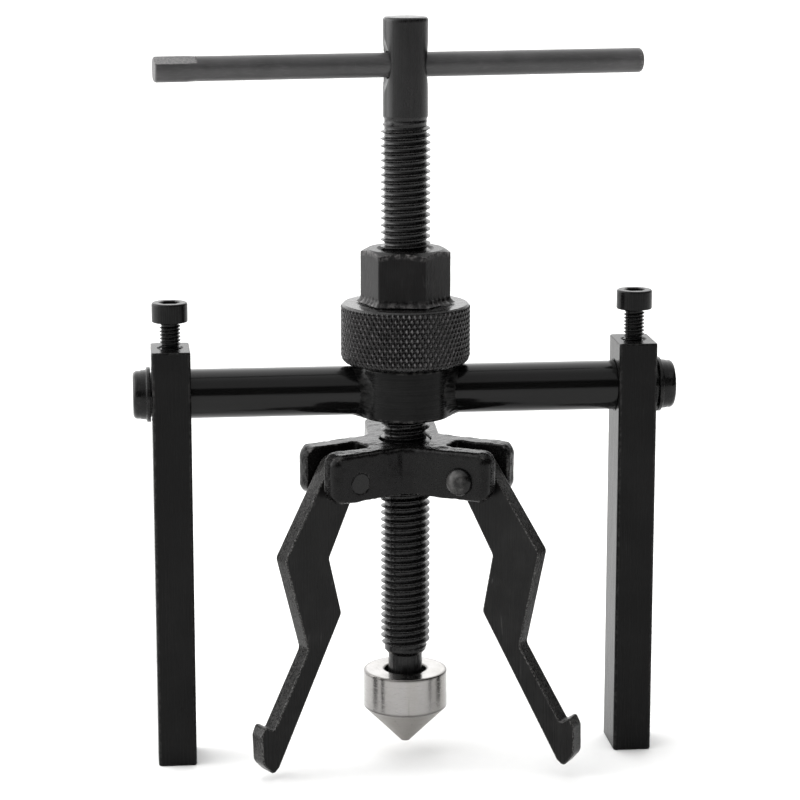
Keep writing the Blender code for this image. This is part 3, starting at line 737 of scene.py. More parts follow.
BOSS_BLACK = BlackSteel("boss black", (0.003, 0.003, 0.003), (0.009, 0.009, 0.009), patch=6.0,
                        roughness=0.24, specular=0.09, grain=Grain.ROUND_Z, relief=0.01,
                        scratches=0.0, rub=0.2)
BAR_BLACK = BlackSteel("bar gloss black", (0.0028, 0.0028, 0.0028), (0.005, 0.005, 0.005),
                       patch=16.0, speckled=0.0, roughness=0.16, spread=0.03, specular=0.2,
                       grain=Grain.ALONG_X, relief=0.004, scratches=0.0, rub=0.05)
RING_BLACK = BlackSteel("ring black", (0.003, 0.003, 0.003), (0.008, 0.008, 0.008), patch=4.0,
                        roughness=0.26, specular=0.18, scratches=0.0, rub=0.05)
LEG_BLACK = BlackSteel("leg satin black", (0.0036, 0.0035, 0.0035), (0.0075, 0.0073, 0.0073),
                       patch=14.0, patchy=0.6, speckled=0.03, roughness=0.26, spread=0.04,
                       specular=0.09, grain=Grain.ALONG_Z, streak=0.5, relief=0.004,
                       scratches=0.08, rub=0.22, rubbed=(0.08, 0.078, 0.076))
CAP_BLACK = BlackSteel("cap screw black", (0.0035, 0.0035, 0.0035), (0.01, 0.01, 0.01),
                       patch=2.5, roughness=0.26, specular=0.12, grain=Grain.ALONG_Z,
                       relief=0.006, scratches=0.0, rub=0.3)
CAST_BLACK = BlackSteel("cast black", (0.002, 0.0019, 0.0019), (0.024, 0.0235, 0.023), patch=2.6,
                        patchy=0.06, speckled=0.4, roughness=0.25, specular=0.13, pits=0.55,
                        relief=0.05, scratches=0.0, rub=0.8, rubbed=(0.17, 0.165, 0.162))
JAW_BLACK = BlackSteel("jaw satin black", (0.0045, 0.0044, 0.0043), (0.013, 0.0127, 0.0124),
                       patch=7.0, patchy=0.5, speckled=0.08, roughness=0.3, specular=0.13,
                       grain=Grain.ALONG_Z, streak=0.6, relief=0.008, scratches=0.25, rub=0.6,
                       chip=0.4, rubbed=(0.19, 0.186, 0.182))
# On the rivets the rubbed colour, spread evenly by the large chip size, paints the highlight on the
# dome's crown.
RIVET_BLACK = BlackSteel("rivet black", (0.002, 0.0019, 0.0019), (0.02, 0.0195, 0.019),
                         patch=1.2, patchy=0.1, speckled=0.2, roughness=0.22, specular=0.22,
                         relief=0.01, chip=7.0, scratches=0.0, rub=0.3, rubbed=(0.2, 0.195, 0.19))
SPRING_BLACK = BlackSteel("spring steel", (0.03, 0.03, 0.032), (0.09, 0.09, 0.095), patch=1.0,
                          roughness=0.3, scratches=0.1)
CONE_BRIGHT = BrightSteel("bright turned steel", (0.315, 0.306, 0.300), (0.285, 0.275, 0.262), 0.24,
                          0.44, 10.4)
BALL_BRIGHT = BrightSteel("polished ball", (0.72, 0.72, 0.73), (0.7, 0.7, 0.71), 0.1, 0.1, -5.0)

Finish = BlackSteel | BrightSteel
_made: dict[str, bpy.types.Material] = {}


def material_of(finish: Finish) -> bpy.types.Material:
    """Look up a finish's material, which is made once.

    Args:
        finish: The finish.

    Returns:
        Its material.
    """
    if finish.name not in _made:
        _made[finish.name] = finish.make()
    return _made[finish.name]


# ------------------------------------------------------------------ making pieces


def new_mesh(name: str, skin: Skin) -> bpy.types.Mesh:
    """Make a clean mesh in metres: doubled points merged, faces pointing out.

    Args:
        name: The mesh's name.
        skin: The surface in millimetres.

    Returns:
        The mesh, with the skin's wear as an attribute.
    """
    mesh = bpy.data.meshes.new(name)
    sizes = np.concatenate([np.full(len(part), part.shape[1]) for part in skin.faces])
    corners = np.concatenate([part.ravel() for part in skin.faces])
    mesh.vertices.add(len(skin.points))
    mesh.vertices.foreach_set("co", (skin.points * MM).astype(np.float32).ravel())
    mesh.loops.add(len(corners))
    mesh.loops.foreach_set("vertex_index", corners.astype(np.int32))
    mesh.polygons.add(len(sizes))
    starts = np.concatenate([[0], np.cumsum(sizes)[:-1]])
    mesh.polygons.foreach_set("loop_start", starts.astype(np.int32))
    mesh.update(calc_edges=True)
    wear = mesh.attributes.new(WEAR, "FLOAT", "POINT")
    wear.data.foreach_set("value", skin.wear.astype(np.float32))
    work = bmesh.new()
    work.from_mesh(mesh)
    bmesh.ops.remove_doubles(work, verts=work.verts, dist=WELD_DISTANCE)
    bmesh.ops.dissolve_degenerate(work, dist=WELD_DISTANCE, edges=work.edges)
    bmesh.ops.recalc_face_normals(work, faces=work.faces)
    open_edges = sum(not edge.is_manifold for edge in work.edges)
    if open_edges:
        LOG.warning("%s has %d edges that aren't closed", name, open_edges)
    work.to_mesh(mesh)
    work.free()
    return mesh


def new_object(name: str, skin: Skin) -> bpy.types.Object:
    """Make an object that holds a skin and link it to the scene.

    Args:
        name: The object's name.
        skin: The surface in millimetres.

    Returns:
        The object.
    """
    obj = bpy.data.objects.new(name, new_mesh(name, skin))
    bpy.context.scene.collection.objects.link(obj)
    return obj


def settle(obj: bpy.types.Object) -> None:
    """Turn an object's modifiers into its mesh.

    Args:
        obj: The object.
    """
    graph = bpy.context.evaluated_depsgraph_get()
    mesh = bpy.data.meshes.new_from_object(obj.evaluated_get(graph))
    obj.modifiers.clear()
    old, obj.data = obj.data, mesh
    bpy.data.meshes.remove(old)


def carve(obj: bpy.types.Object, cutters: Sequence[Skin]) -> None:
    """Cut closed skins out of an object, exactly, and keep the result as its mesh.

    Args:
        obj: The object.
        cutters: The skins, in millimetres.
    """
    tools = [new_object(f"{obj.name}_tool_{index}", skin) for index, skin in enumerate(cutters)]
    for tool in tools:
        cut = obj.modifiers.new(tool.name, "BOOLEAN")
        cut.operation = "DIFFERENCE"
        cut.solver = "EXACT"
        cut.object = tool
    settle(obj)
    for tool in tools:
        bpy.data.objects.remove(tool, do_unlink=True)


def dress(obj: bpy.types.Object, finish: Finish, body: str, node: str, sharp: float) -> None:
    """Shade a piece, give it its finish and let it ride in place of its frame node.

    Args:
        obj: The piece.
        finish: Its finish.
        body: The frame body it moves with.
        node: The frame node it stands for.
        sharp: Angle in degrees above which an edge shows sharp.
    """
    mesh = obj.data
    mesh.materials.clear()
    mesh.materials.append(material_of(finish))
    mesh.shade_smooth()
    mesh.set_sharp_from_angle(angle=math.radians(sharp))
    even = obj.modifiers.new("even shading", "WEIGHTED_NORMAL")
    even.keep_sharp = True
    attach(obj, body)
    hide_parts(node)
    LOG.info("%s: %d points on %s", obj.name, len(mesh.vertices), body)


def lathe_profile(corners: Sequence[tuple[float, float, float]], ring: bool = False,
                  steps: int = 5) -> tuple[np.ndarray, np.ndarray]:
    """Round a (radius, height) profile.

    Args:
        corners: (radius, height, rounding) of each corner.
        ring: Whether the profile is a closed loop.
        steps: Pieces in each arc.

    Returns:
        The profile and the wear of its points.
    """
    return rounded(corners, ring, steps)


def with_rows(profile: np.ndarray, flags: np.ndarray, at: int,
              rows: np.ndarray) -> tuple[np.ndarray, np.ndarray]:
    """Add rows without wear to a profile, after one of its points.

    Args:
        profile: n x 2 (radius, height).
        flags: Wear of its points.
        at: Index of the point before the new rows.
        rows: The new rows, m x 2.

    Returns:
        The longer profile and its wear.
    """
    return (np.concatenate([profile[:at + 1], rows, profile[at + 1:]]),
            np.concatenate([flags[:at + 1], np.zeros(len(rows)), flags[at + 1:]]))


# ------------------------------------------------------------------ screw and T-bar


@dataclass
class ForcingScrew:
    """The long screw: drilled head, thread and turned neck.

    Attributes:
        pitch: Rise of the thread in one turn.
        depth: Depth of the thread.
        neck: Radius of the neck.
        head: Radius of the head.
        dish: Radius of the hollow round each mouth of the T-bar's hole.
        dish_depth: Depth of that hollow.
        hole_gap: Air between T-bar and hole.
        groove: Depth of the snap ring's groove.
        gap: Air above and below the snap ring.
        run_out: Height of the plain neck between the cone and the thread.
        plain: Length of the head above the thread.
        columns: Points round.
    """

    pitch: float = 2.0
    depth: float = 1.08
    neck: float = 4.8
    head: float = 6.25
    dish: float = 8.2
    dish_depth: float = 1.35
    hole_gap: float = 0.3
    groove: float = 1.3
    gap: float = 0.3
    run_out: float = 6.0
    plain: float = 27.9
    columns: int = 72

    def build(self) -> None:
        """Make the screw as one piece."""
        low, high = box_mm("forcing_screw")
        crest = high[0]
        thread = Thread(crest, crest - self.depth, self.pitch, fade=1.6 * self.pitch)
        ring_low, ring_high = box_mm("tip_snap_ring")
        floor, roof = ring_low[2] - self.gap, ring_high[2] + self.gap
        below, _ = lathe_profile([
            (0.0, low[2], 0.0), (self.neck, low[2], 0.8),
            (self.neck, floor, 0.0), (self.neck - self.groove, floor, 0.0),
            (self.neck - self.groove, roof, 0.0), (self.neck, roof, 0.0),
            (self.neck, self._thread_bottom() - 1.2, 0.5),
            (thread.root, self._thread_bottom(), 0.0)])
        above, flags = lathe_profile([
            (thread.root, self._thread_top(), 0.0), (self.head, self._thread_top() + 0.7, 0.5),
            (self.head, high[2], 0.9), (0.0, high[2], 0.0)])
        at = int(np.argmax(np.linalg.norm(np.diff(above, axis=0), axis=1)))
        rows = np.linspace(self._thread_top() + 2.0, high[2] - 1.5, 48)
        above, _ = with_rows(above, flags, at,
                             np.column_stack([np.full(len(rows), above[at, 0]), rows]))
        skin = thread.skin(below[1:], above[:-1], self.columns)
        self._press_dishes(skin)
        screw = new_object("screw", skin)
        bar = Placement.along(joint_named("tommy_bar_slide")["axis"], (0.0, 0.0, self._hole_z()))
        bar_low, bar_high = box_mm("tommy_bar")
        radius = (bar_high[2] - bar_low[2]) / 2.0 + self.hole_gap
        reach = 2.0 * self.head
        hole = turned(np.array([[radius, -reach], [radius, reach]]), np.zeros(2), 48)
        carve(screw, [hole.placed(bar)])
        dress(screw, SCREW_BLACK, "screw", "forcing_screw", 35.0)

    def _thread_bottom(self) -> float:
        """Height where the thread starts: it clears the cone by its run-out."""
        return box_mm("cone_tip")[1][2] + self.run_out

    def _thread_top(self) -> float:
        """Height where the thread ends below the head."""
        return box_mm("forcing_screw")[1][2] - self.plain

    def _hole_z(self) -> float:
        """Height of the T-bar's axis."""
        low, high = box_mm("tommy_bar")
        return (low[2] + high[2]) / 2.0

    def _press_dishes(self, skin: Skin) -> None:
        """Sink the hollow round each mouth of the hole.

        At distance d from the T-bar's axis no point may lie further out along that axis than the
        head's radius less the depth times a smooth ramp, 1 at the hole and 0 at the rim.

        Args:
            skin: The screw, which is changed.
        """
        axis = np.array(joint_named("tommy_bar_slide")["axis"])
        points = skin.points
        rise = points[:, 2] - self._hole_z()
        across = points[:, 0] * -axis[1] + points[:, 1] * axis[0]
        along = points[:, 0] * axis[0] + points[:, 1] * axis[1]
        ramp = smoothstep((self.dish - np.hypot(rise, 1.25 * across)) / (self.dish - 2.4))
        limit = self.head - self.dish_depth * ramp
        moved = np.clip(along, -limit, limit) - along
        moved[points[:, 2] < self._thread_top() + 1.0] = 0.0
        points += moved[:, None] * axis


@dataclass
class TommyBar:
    """The T-bar, swaged at its left end with a flat on top.

    Attributes:
        radius: Radius of the bar.
        swage: Radius of the swaged end.
        swage_length: Length of the swaged end.
        flat: Height of the flat over the bar's axis.
        lean: How far the flat leans forward, in degrees.
        bow: How far the bar is off straight.
    """

    radius: float = 3.4
    swage: float = 3.5
    swage_length: float = 11.5
    flat: float = 2.8
    lean: float = 23.0
    bow: float = 0.10

    def build(self) -> None:
        """Make the bar from a grid: radius along the bar, then the flat pressed on it."""
        slide = joint_named("tommy_bar_slide")["axis"]
        low, high = box_mm("tommy_bar")
        middle = tuple((low + high) / 2.0)
        half = (high[0] - low[0] - 2.0 * self.radius * abs(slide[1])) / 2.0 / slide[0]
        corners = [(0.0, -half, 0.0), (self.swage, -half, 0.7),
                   (self.swage, self.swage_length - 3.0 - half, 3.0),
                   (self.radius, self.swage_length - half, 3.0),
                   (self.radius, half, 1.0), (0.0, half, 0.0)]
        profile, flags = lathe_profile(corners)
        rows = np.linspace(profile[:, 1].min(), profile[:, 1].max(), 160)[1:-1]
        keep = (rows > self.swage_length - half) & (rows < half - 1.5)
        at = int(np.argmax(np.diff(profile[:, 1])))
        profile, flags = with_rows(profile, flags, at, np.column_stack(
            [np.full(keep.sum(), self.radius), rows[keep]]))
        skin = turned(profile[1:-1], flags[1:-1], 64)
        points = skin.points
        self._press_end(skin, points[:, 2] + half)
        points[:, 0] += self.bow * lumps(points * np.array([0.0, 0.0, 1.0]), 23.0, 5)
        bar = new_object("t_bar", skin.placed(Placement.along(slide, middle)))
        dress(bar, TBAR_BLACK, "tommy_bar", "tommy_bar", 32.0)

    def _press_end(self, skin: Skin, along: np.ndarray) -> None:
        """Press the end to a leaning flat on top and a slightly squared body below it.

        With (x, y) across the bar and t the flat's lean, h = y cos t - x sin t is the height over
        the flat's plane; what lies above flat is lowered to it. The rest is drawn from the circle
        towards a rounded square by dividing by the fourth-power mean of its two directions.

        Args:
            skin: The bar lying along its local third direction.
            along: Distance of each point from the end.
        """
        points = skin.points
        share = 1.0 - smoothstep((along - self.swage_length + 1.0) / 1.0)
        radius = np.hypot(points[:, 0], points[:, 1]) + 1e-9
        across, up = points[:, 0] / radius, points[:, 1] / radius
        square = (across ** 4 + up ** 4) ** -0.25
        points[:, :2] *= (1.0 + 0.55 * share * (square - 1.0))[:, None]
        lean = math.radians(self.lean)
        height = points[:, 1] * math.cos(lean) - points[:, 0] * math.sin(lean)
        over = np.maximum(height - self.flat, 0.0) * (along < self.swage_length)
        points[:, 0] += over * math.sin(lean)
        points[:, 1] -= over * math.cos(lean)
        # The swaged end loses its corner wear, and the pressed flat gets full wear: partly rubbed
        # film, partly painted sheen that makes the top facet light.
        skin.wear[along < self.swage_length] = 0.0
        skin.wear[over > 0.02] = 1.0


# ------------------------------------------------------------------ adjusting nut


@dataclass
class AdjustingNut:
    """The hexagon and the knurled collar below it.

    Attributes:
        flats: Half of the width across flats.
        chamfer: Radius of the top's chamfer circle.
        slope: Slope of the chamfer, rise over run.
        flare: How far the base of the hexagon spreads.
        flare_height: Height of that spread.
        ripples: Nicks round the base.
        bore: Radius of the bore.
        mouth: Radius of the countersunk mouths.
        yaw: Direction of one corner, in degrees.
        diamonds: Diamonds round the collar.
        knurl: Depth of the knurl.
        under: Radius of the collar's lower edge.
        bevel: Width of the collar's upper bevel.
    """

    flats: float = 11.0
    chamfer: float = 10.6
    slope: float = 0.55
    flare: float = 1.2
    flare_height: float = 2.2
    ripples: int = 34
    bore: float = 7.25
    mouth: float = 8.1
    yaw: float = -11.4
    diamonds: int = 74
    knurl: float = 0.5
    under: float = 2.7
    bevel: float = 0.9

    def build(self) -> None:
        """Make both pieces."""
        self.build_hexagon()
        self.build_collar()

    def build_hexagon(self) -> None:
        """Make the hexagon.

        Its wall is the six-sided curve r = flat / cos(angle from the flat's middle), its
        corners are cut by a cone, and its foot spreads with a quarter-circle sweep that is
        nicked at even steps.
        """
        low, high = box_mm("hex_nut")
        columns = 6 * 40
        angle = np.arange(columns) * TURN / columns + math.radians(self.yaw)
        from_flat = (angle - math.radians(self.yaw)) % (TURN / 6.0) - TURN / 12.0
        corner_cut = 0.12
        wall = np.minimum(self.flats / np.cos(from_flat),
                          self.flats / math.cos(TURN / 12.0) - corner_cut)
        rim = high[2] - (wall - self.chamfer) * self.slope
        rows: list[tuple[np.ndarray, np.ndarray, float]] = []
        foot = self.flats * np.column_stack([np.cos(angle), np.sin(angle), 0.0 * angle])
        drift, share_of = lumps(foot, 4.0, 31), lumps(foot, 1.9, 32)
        nick = (0.5 + 0.5 * np.cos(angle * self.ripples + 1.6 * drift)) ** 2
        for step in np.linspace(0.0, 1.0, 9):
            spread = self.flare * (1.0 - math.sin(step * math.pi / 2.0)) ** 1.5 * (
                1.0 + 0.35 * drift)
            bite = 0.45 * nick * (0.6 + 0.6 * share_of) * (1.0 - step) * min(1.0, 5.0 * step + 0.2)
            rows.append((wall + spread - bite, np.full(columns, low[2] + step * self.flare_height),
                         0.6 * (1.0 - step)))
        for share in np.linspace(0.1, 1.0, 8):
            start = low[2] + self.flare_height
            rows.append((wall, start + (rim - start) * share, float(share > 0.95)))
        for share in (0.05, 0.35, 0.7, 0.95, 1.0):
            radius = wall + (self.chamfer - wall) * share
            rows.append((radius, high[2] - (radius - self.chamfer) * self.slope,
                         float(share < 0.1) * 0.8))
        flat = np.full(columns, high[2])
        ones = np.ones(columns)
        rows.append((self.chamfer * 0.97 * ones, flat, 0.0))
        rows.append((self.mouth * 1.02 * ones, flat, 0.0))
        rows.append((self.mouth * ones, flat, 0.7))
        rows.append((self.bore * ones, flat - (self.mouth - self.bore), 0.3))
        rows.append((self.bore * ones, np.full(columns, low[2]), 0.0))
        radius = np.array([row[0] for row in rows])
        height = np.array([row[1] for row in rows])
        points = np.stack([radius * np.cos(angle), radius * np.sin(angle), height], axis=-1)
        skin = Skin(points.reshape(-1, 3), [grid_faces(len(rows), columns, True)],
                    np.repeat([row[2] for row in rows], columns))
        skin.points[:, :2] *= (1.0 + 0.0012 * lumps(skin.points, 2.5, 3))[:, None]
        dress(new_object("hexagon", skin), NUT_BLACK, "nut", "hex_nut", 24.0)

    def build_collar(self) -> None:
        """Make the collar with a diamond knurl.

        Two families of V grooves climb at thirty degrees to the axis, left and right. The
        height of a point is the smaller of its two distances from the nearest grooves, with the
        tops of the diamonds cut flat. Alternate rows are shifted by half a column, so both
        families run along the grid's edges.
        """
        low, high = box_mm("knurled_collar")
        rim, split = high[0], 6
        climb = math.tan(math.radians(30.0)) / (TURN * rim / self.diamonds)
        columns = self.diamonds * split
        pace = 0.5 / split / climb
        knurl_low = low[2] + self.under * 0.2
        count = int((high[2] - self.bevel * 0.4 - low[2] - self.under * 0.2) / pace)
        heights = knurl_low + np.arange(count + 1) * pace
        sink = np.clip(1.0 - (heights - low[2]) / self.under, 0.0, 1.0)
        profile_r = np.minimum(rim - self.under * (1.0 - np.sqrt(1.0 - sink ** 2)),
                               rim - self.bevel + (high[2] - heights))
        shift = (np.arange(count + 1) % 2) * 0.5
        angle = (np.arange(columns)[None, :] + shift[:, None]) * TURN / columns
        first = angle / TURN * self.diamonds + heights[:, None] * climb
        second = angle / TURN * self.diamonds - heights[:, None] * climb
        ridge = [1.0 - 2.0 * np.abs(value % 1.0 - 0.5) for value in (first, second)]
        rise = np.minimum(np.minimum(*ridge) / 0.72, 1.0)
        ends = smoothstep((heights - knurl_low) / 1.4) * smoothstep((heights[-1] - heights) / 0.5)
        radius = profile_r[:, None] - self.knurl * (1.0 - rise) * ends[:, None]
        wear = np.clip(rise * 2.2 - 1.5, 0.0, 1.0) * ends[:, None]
        knurl = np.stack([radius * np.cos(angle), radius * np.sin(angle),
                          np.broadcast_to(heights[:, None], radius.shape)], axis=-1)
        plain_low = np.array([
            (self.bore, low[2] + 0.8), (self.mouth, low[2]),
            (rim - self.under - 0.4, low[2]), (rim - self.under, low[2] + 0.05)])
        plain_high = np.array([
            (rim - self.bevel + 0.1, high[2] - 0.06), (rim - self.bevel - 0.3, high[2]),
            (14.4, high[2]), (13.6, high[2] - 0.05), (self.mouth, high[2] - 0.05),
            (self.bore, high[2] - 0.8)])
        below = turned(plain_low, np.zeros(len(plain_low)), columns).points
        above = turned(plain_high, np.zeros(len(plain_high)), columns).points
        points = np.concatenate([below, knurl.reshape(-1, 3), above])
        start = len(plain_low)
        rows = start + count + 1 + len(plain_high)
        quads = grid_faces(rows, columns, True).reshape(rows, columns, 4)
        pairs = quads[start:start + count]
        quads = np.delete(quads, np.s_[start:start + count], axis=0)
        low_left, low_right, high_right, high_left = np.moveaxis(pairs, -1, 0)
        even = (np.arange(count) % 2 == 0)[:, None]
        one = np.stack([low_left, low_right, np.where(even, high_left, high_right)], axis=-1)
        two = np.where(even[..., None], np.stack([low_right, high_right, high_left], axis=-1),
                       np.stack([low_left, high_right, high_left], axis=-1))
        skin = Skin(points, [quads.reshape(-1, 4), one.reshape(-1, 3), two.reshape(-1, 3)],
                    np.concatenate([np.zeros(len(below)), wear.ravel(), np.zeros(len(above))]))
        top = skin.points[:, 2] > high[2] - 0.2
        skin.points[top, 2] -= 0.05 * (1.0 + lumps(skin.points[top], 0.9, 8))
        dress(new_object("collar", skin), COLLAR_BLACK, "nut", "knurled_collar", 18.0)


# ------------------------------------------------------------------ crossbeam


@dataclass
class Crossbeam:
    """Boss, two bars welded to it and the stop rings near their ends.

    Attributes:
        bar: Radius of the bars.
        bead: Leg of the weld's fillet.
        bore: Radius of the boss's bore.
        groove: Depth of the stop ring's groove.
        gap: Air between the ring and the groove's sides.
    """

    bar: float = 6.9
    bead: float = 2.3
    bore: float = 7.25
    groove: float = 0.7
    gap: float = 0.3

    def build(self) -> None:
        """Make all pieces of the beam."""
        self.build_boss()
        for name, side in (("left", -1.0), ("right", 1.0)):
            self.build_arm(name, side)
            self.build_weld(name, side)
            self.build_ring(name, side)

    def beam_z(self) -> float:
        """Height of the bars' axis."""
        low, high = box_mm("left_arm_bar")
        return (low[2] + high[2]) / 2.0

    def build_boss(self) -> None:
        """Make the boss, with fine turned waves on its wall."""
        low, high = box_mm("centre_boss")
        rim = high[0]
        corners = [(self.bore, low[2], 0.6), (rim, low[2], 0.7), (rim, high[2], 0.7),
                   (self.bore, high[2], 0.6)]
        profile, flags = lathe_profile(corners, ring=True)
        at = int(np.argmax(np.where(profile[:, 0] > rim - 0.01,
                                    np.abs(np.diff(profile[:, 1], append=profile[0, 1])), 0.0)))
        rows = np.linspace(profile[at, 1], profile[at + 1, 1], 42)[1:-1]
        waves = rim + 0.03 * np.sin(rows * 5.0) * np.sin(rows * 1.9)
        profile, flags = with_rows(profile, flags, at, np.column_stack([waves, rows]))
        boss = new_object("boss", turned(profile, flags, 128, ring=True))
        dress(boss, BOSS_BLACK, "crossbeam", "centre_boss", 30.0)

    def build_arm(self, name: str, side: float) -> None:
        """Make one bar, which starts inside the boss and has the ring's groove near its end.

        Args:
            name: "left" or "right".
            side: -1 on the left and 1 on the right.
        """
        node = f"{name}_arm_bar"
        low, high = box_mm(node)
        end = max(abs(low[0]), abs(high[0]))
        ring_low, ring_high = sorted(abs(value[0]) for value in box_mm(f"{name}_stop_ring"))
        root = self.bar - self.groove
        near, far = ring_low - self.gap, ring_high + self.gap
        corners = [(0.0, 9.0, 0.0), (self.bar, 9.0, 0.4), (self.bar, near, 0.15),
                   (root, near, 0.0), (root, far, 0.0), (self.bar - 0.15, far, 0.1),
                   (self.bar - 0.15, end, 1.3), (0.0, end, 0.0)]
        profile, flags = lathe_profile(corners, steps=7)
        rows = np.linspace(12.0, ring_low - 3.0, 60)
        at = int(np.argmax(np.diff(profile[:, 1])))
        profile, flags = with_rows(profile, flags, at,
                                   np.column_stack([np.full(len(rows), self.bar), rows]))
        skin = turned(profile[1:-1], flags[1:-1], 96)
        axis = Placement.along((side, 0.0), (0.0, 0.0, self.beam_z()))
        arm = new_object(f"{name}_bar", skin.placed(axis))
        dress(arm, BAR_BLACK, "crossbeam", node, 35.0)

    def build_weld(self, name: str, side: float) -> None:
        """Make the weld bead that fills the corner between boss and bar.

        At angle a round the bar the corner lies at x = sqrt(R^2 - (r cos a)^2) on the boss. The
        bead's section runs from the bar to the boss as a hollow curve and back inside both.

        Args:
            name: "left" or "right".
            side: -1 on the left and 1 on the right.
        """
        low, high = box_mm("centre_boss")
        rim = high[0]
        columns, steps = 144, 10
        angle = np.arange(columns) * TURN / columns
        share = np.linspace(0.0, 1.0, steps)[:, None]
        ripple = 1.0 + 0.07 * np.cos(angle * 30.0 + 0.6 * np.sin(3.0 * angle))[None, :]
        lead = self.bead * ripple
        out = lead * (1.0 - share) ** 1.8
        up = lead * 0.85 * share ** 1.8
        out = np.concatenate([out, np.full((1, columns), -1.2)])
        up = np.concatenate([up, np.full((1, columns), -0.6)])
        radius = self.bar + up
        across = radius * np.cos(angle)[None, :]
        half = (high[2] - low[2]) / 2.0 - 0.25
        rise = np.clip(radius * np.sin(angle)[None, :], -half, half)
        wall = np.sqrt(np.maximum(rim ** 2 - across ** 2, 0.0))
        along = wall - 0.02 + out
        points = np.stack([side * along, across, rise + self.beam_z()], axis=-1)
        wear = np.full((steps + 1, columns), 0.25)
        skin = Skin(points.reshape(-1, 3), [grid_faces(steps + 1, columns, True)], wear.ravel())
        weld = new_object(f"{name}_weld", skin)
        dress(weld, BOSS_BLACK, "crossbeam", "centre_boss", 60.0)

    def build_ring(self, name: str, side: float) -> None:
        """Make one stop ring, with a hollow fillet on its outer side.

        Args:
            name: "left" or "right".
            side: -1 on the left and 1 on the right.
        """
        node = f"{name}_stop_ring"
        low, high = box_mm(node)
        near, far = sorted((abs(low[0]), abs(high[0])))
        wide = (high[2] - low[2]) / 2.0
        inner = self.bar - 0.35
        corners = [(inner, near, 0.0), (wide, near, 0.25), (wide, far, 0.3),
                   (self.bar + 0.1, far + 0.05, 0.3), (self.bar - 0.05, far + 1.6, 0.0),
                   (inner, far + 0.4, 0.0)]
        profile, flags = lathe_profile(corners, ring=True)
        skin = turned(profile, flags, 96, ring=True)
        axis = Placement.along((side, 0.0), (0.0, 0.0, self.beam_z()))
        dress(new_object(f"{name}_ring", skin.placed(axis)), RING_BLACK, "crossbeam", node, 35.0)


# ------------------------------------------------------------------ legs and clamp screws


@dataclass
class Leg:
    """One leg and the socket head screw that clamps it on the bar.

    Attributes:
        side: "left" or "right".
        corner: Radius of the long edges.
        rim: Radius of the end edges.
        bore: Radius of the bar's bore.
        screw: Radius of the clamp screw's thread.
        head: Radius of its head.
        head_height: Height of its head.
        socket: Half of the socket's width across flats.
        mouth: Bevel of the bore's mouths.
        depth: Depth of the clamp screw's thread.
        gap: Air between the clamp screw and its hole.
        socket_depth: Depth of the socket.
    """

    side: str
    corner: float = 0.95
    rim: float = 0.45
    bore: float = 7.2
    screw: float = 2.95
    head: float = 5.0
    head_height: float = 5.4
    socket: float = 2.5
    mouth: float = 0.35
    depth: float = 0.55
    gap: float = 0.3
    socket_depth: float = 3.0

    def build(self) -> None:
        """Make the leg and its screw."""
        self.build_leg()
        self.build_screw()

    def build_leg(self) -> None:
        """Make the leg: a rounded rectangle carried upwards, bored across and tapped."""
        node = f"{self.side}_leg"
        low, high = box_mm(node)
        outline, worn = rounded([
            (low[0], low[1], self.corner), (high[0], low[1], self.corner),
            (high[0], high[1], self.corner), (low[0], high[1], self.corner)], True, 6)
        worn[::7] = worn[6::7] = 0.0    # where an arc meets a side
        middle = (low[0] + high[0]) / 2.0
        beam_low, beam_high = box_mm(f"{self.side}_arm_bar")
        beam = (beam_low[2] + beam_high[2]) / 2.0
        half = (high[0] - low[0]) / 2.0
        wide = self.bore + self.mouth + 1.0
        bore = np.array([[wide, -half - 1.0], [self.bore, -half + self.mouth],
                         [self.bore, half - self.mouth], [wide, half + 1.0]])
        bore_skin = turned(bore, np.zeros(4), 64).placed(
            Placement.along((1.0, 0.0), (middle, 0.0, beam)))
        tap = self.screw + self.gap
        hole = np.array([[tap, beam + 3.0], [tap, high[2] - 0.5], [tap + 1.5, high[2] + 1.0]])
        hole_skin = turned(hole, np.zeros(3), 48).placed(Placement((middle, 0.0, 0.0)))
        leg = new_object(f"{self.side}_foot_leg",
                         plate(outline, low[2], high[2], self.rim, corners=worn))
        carve(leg, [bore_skin, hole_skin])
        dress(leg, LEG_BLACK, f"{self.side}_leg", node, 28.0)

    def build_screw(self) -> None:
        """Make the clamp screw with its hexagon socket."""
        node = f"{self.side}_clamp_screw"
        low, high = box_mm(node)
        middle = (low[0] + high[0]) / 2.0
        under = high[2] - self.head_height
        root = self.screw - self.depth
        thread = Thread(self.screw, root, 1.0, fade=0.8, section=(
            (0.0, 0.0), (0.15, 0.0), (0.45, 0.95), (0.5, 1.0), (0.55, 0.95), (0.85, 0.0)))
        below = np.array([[root - 0.5, low[2]], [root, low[2] + 0.6]])
        above, _ = lathe_profile([
            (root, under - 0.4, 0.0), (root, under, 0.0), (self.head, under, 0.25),
            (self.head, high[2], 0.55), (0.0, high[2], 0.0)])
        skin = thread.skin(below, above[:-1], 48)
        corner = self.socket / math.cos(TURN / 12.0)
        angle = np.arange(6) * TURN / 6.0
        floor = high[2] - self.socket_depth
        rings = np.array([(0.02, floor - 0.6), (1.0, floor), (1.0, high[2] - 0.25),
                          (1.6, high[2] + 1.0)])
        scale, height = rings.T[:, :, None]
        points = np.stack([corner * scale * np.cos(angle), corner * scale * np.sin(angle),
                           height + 0.0 * angle], axis=-1)
        socket = Skin(points.reshape(-1, 3), [grid_faces(4, 6), np.arange(6)[None, ::-1],
                               np.arange(6)[None, :] + 18], np.zeros(24))
        place = Placement((middle, 0.0, 0.0))
        screw = new_object(f"{self.side}_cap_screw", skin.placed(place))
        carve(screw, [socket.placed(place)])
        dress(screw, CAP_BLACK, f"{self.side}_clamp", node, 30.0)


# ------------------------------------------------------------------ hub, jaws and rivets


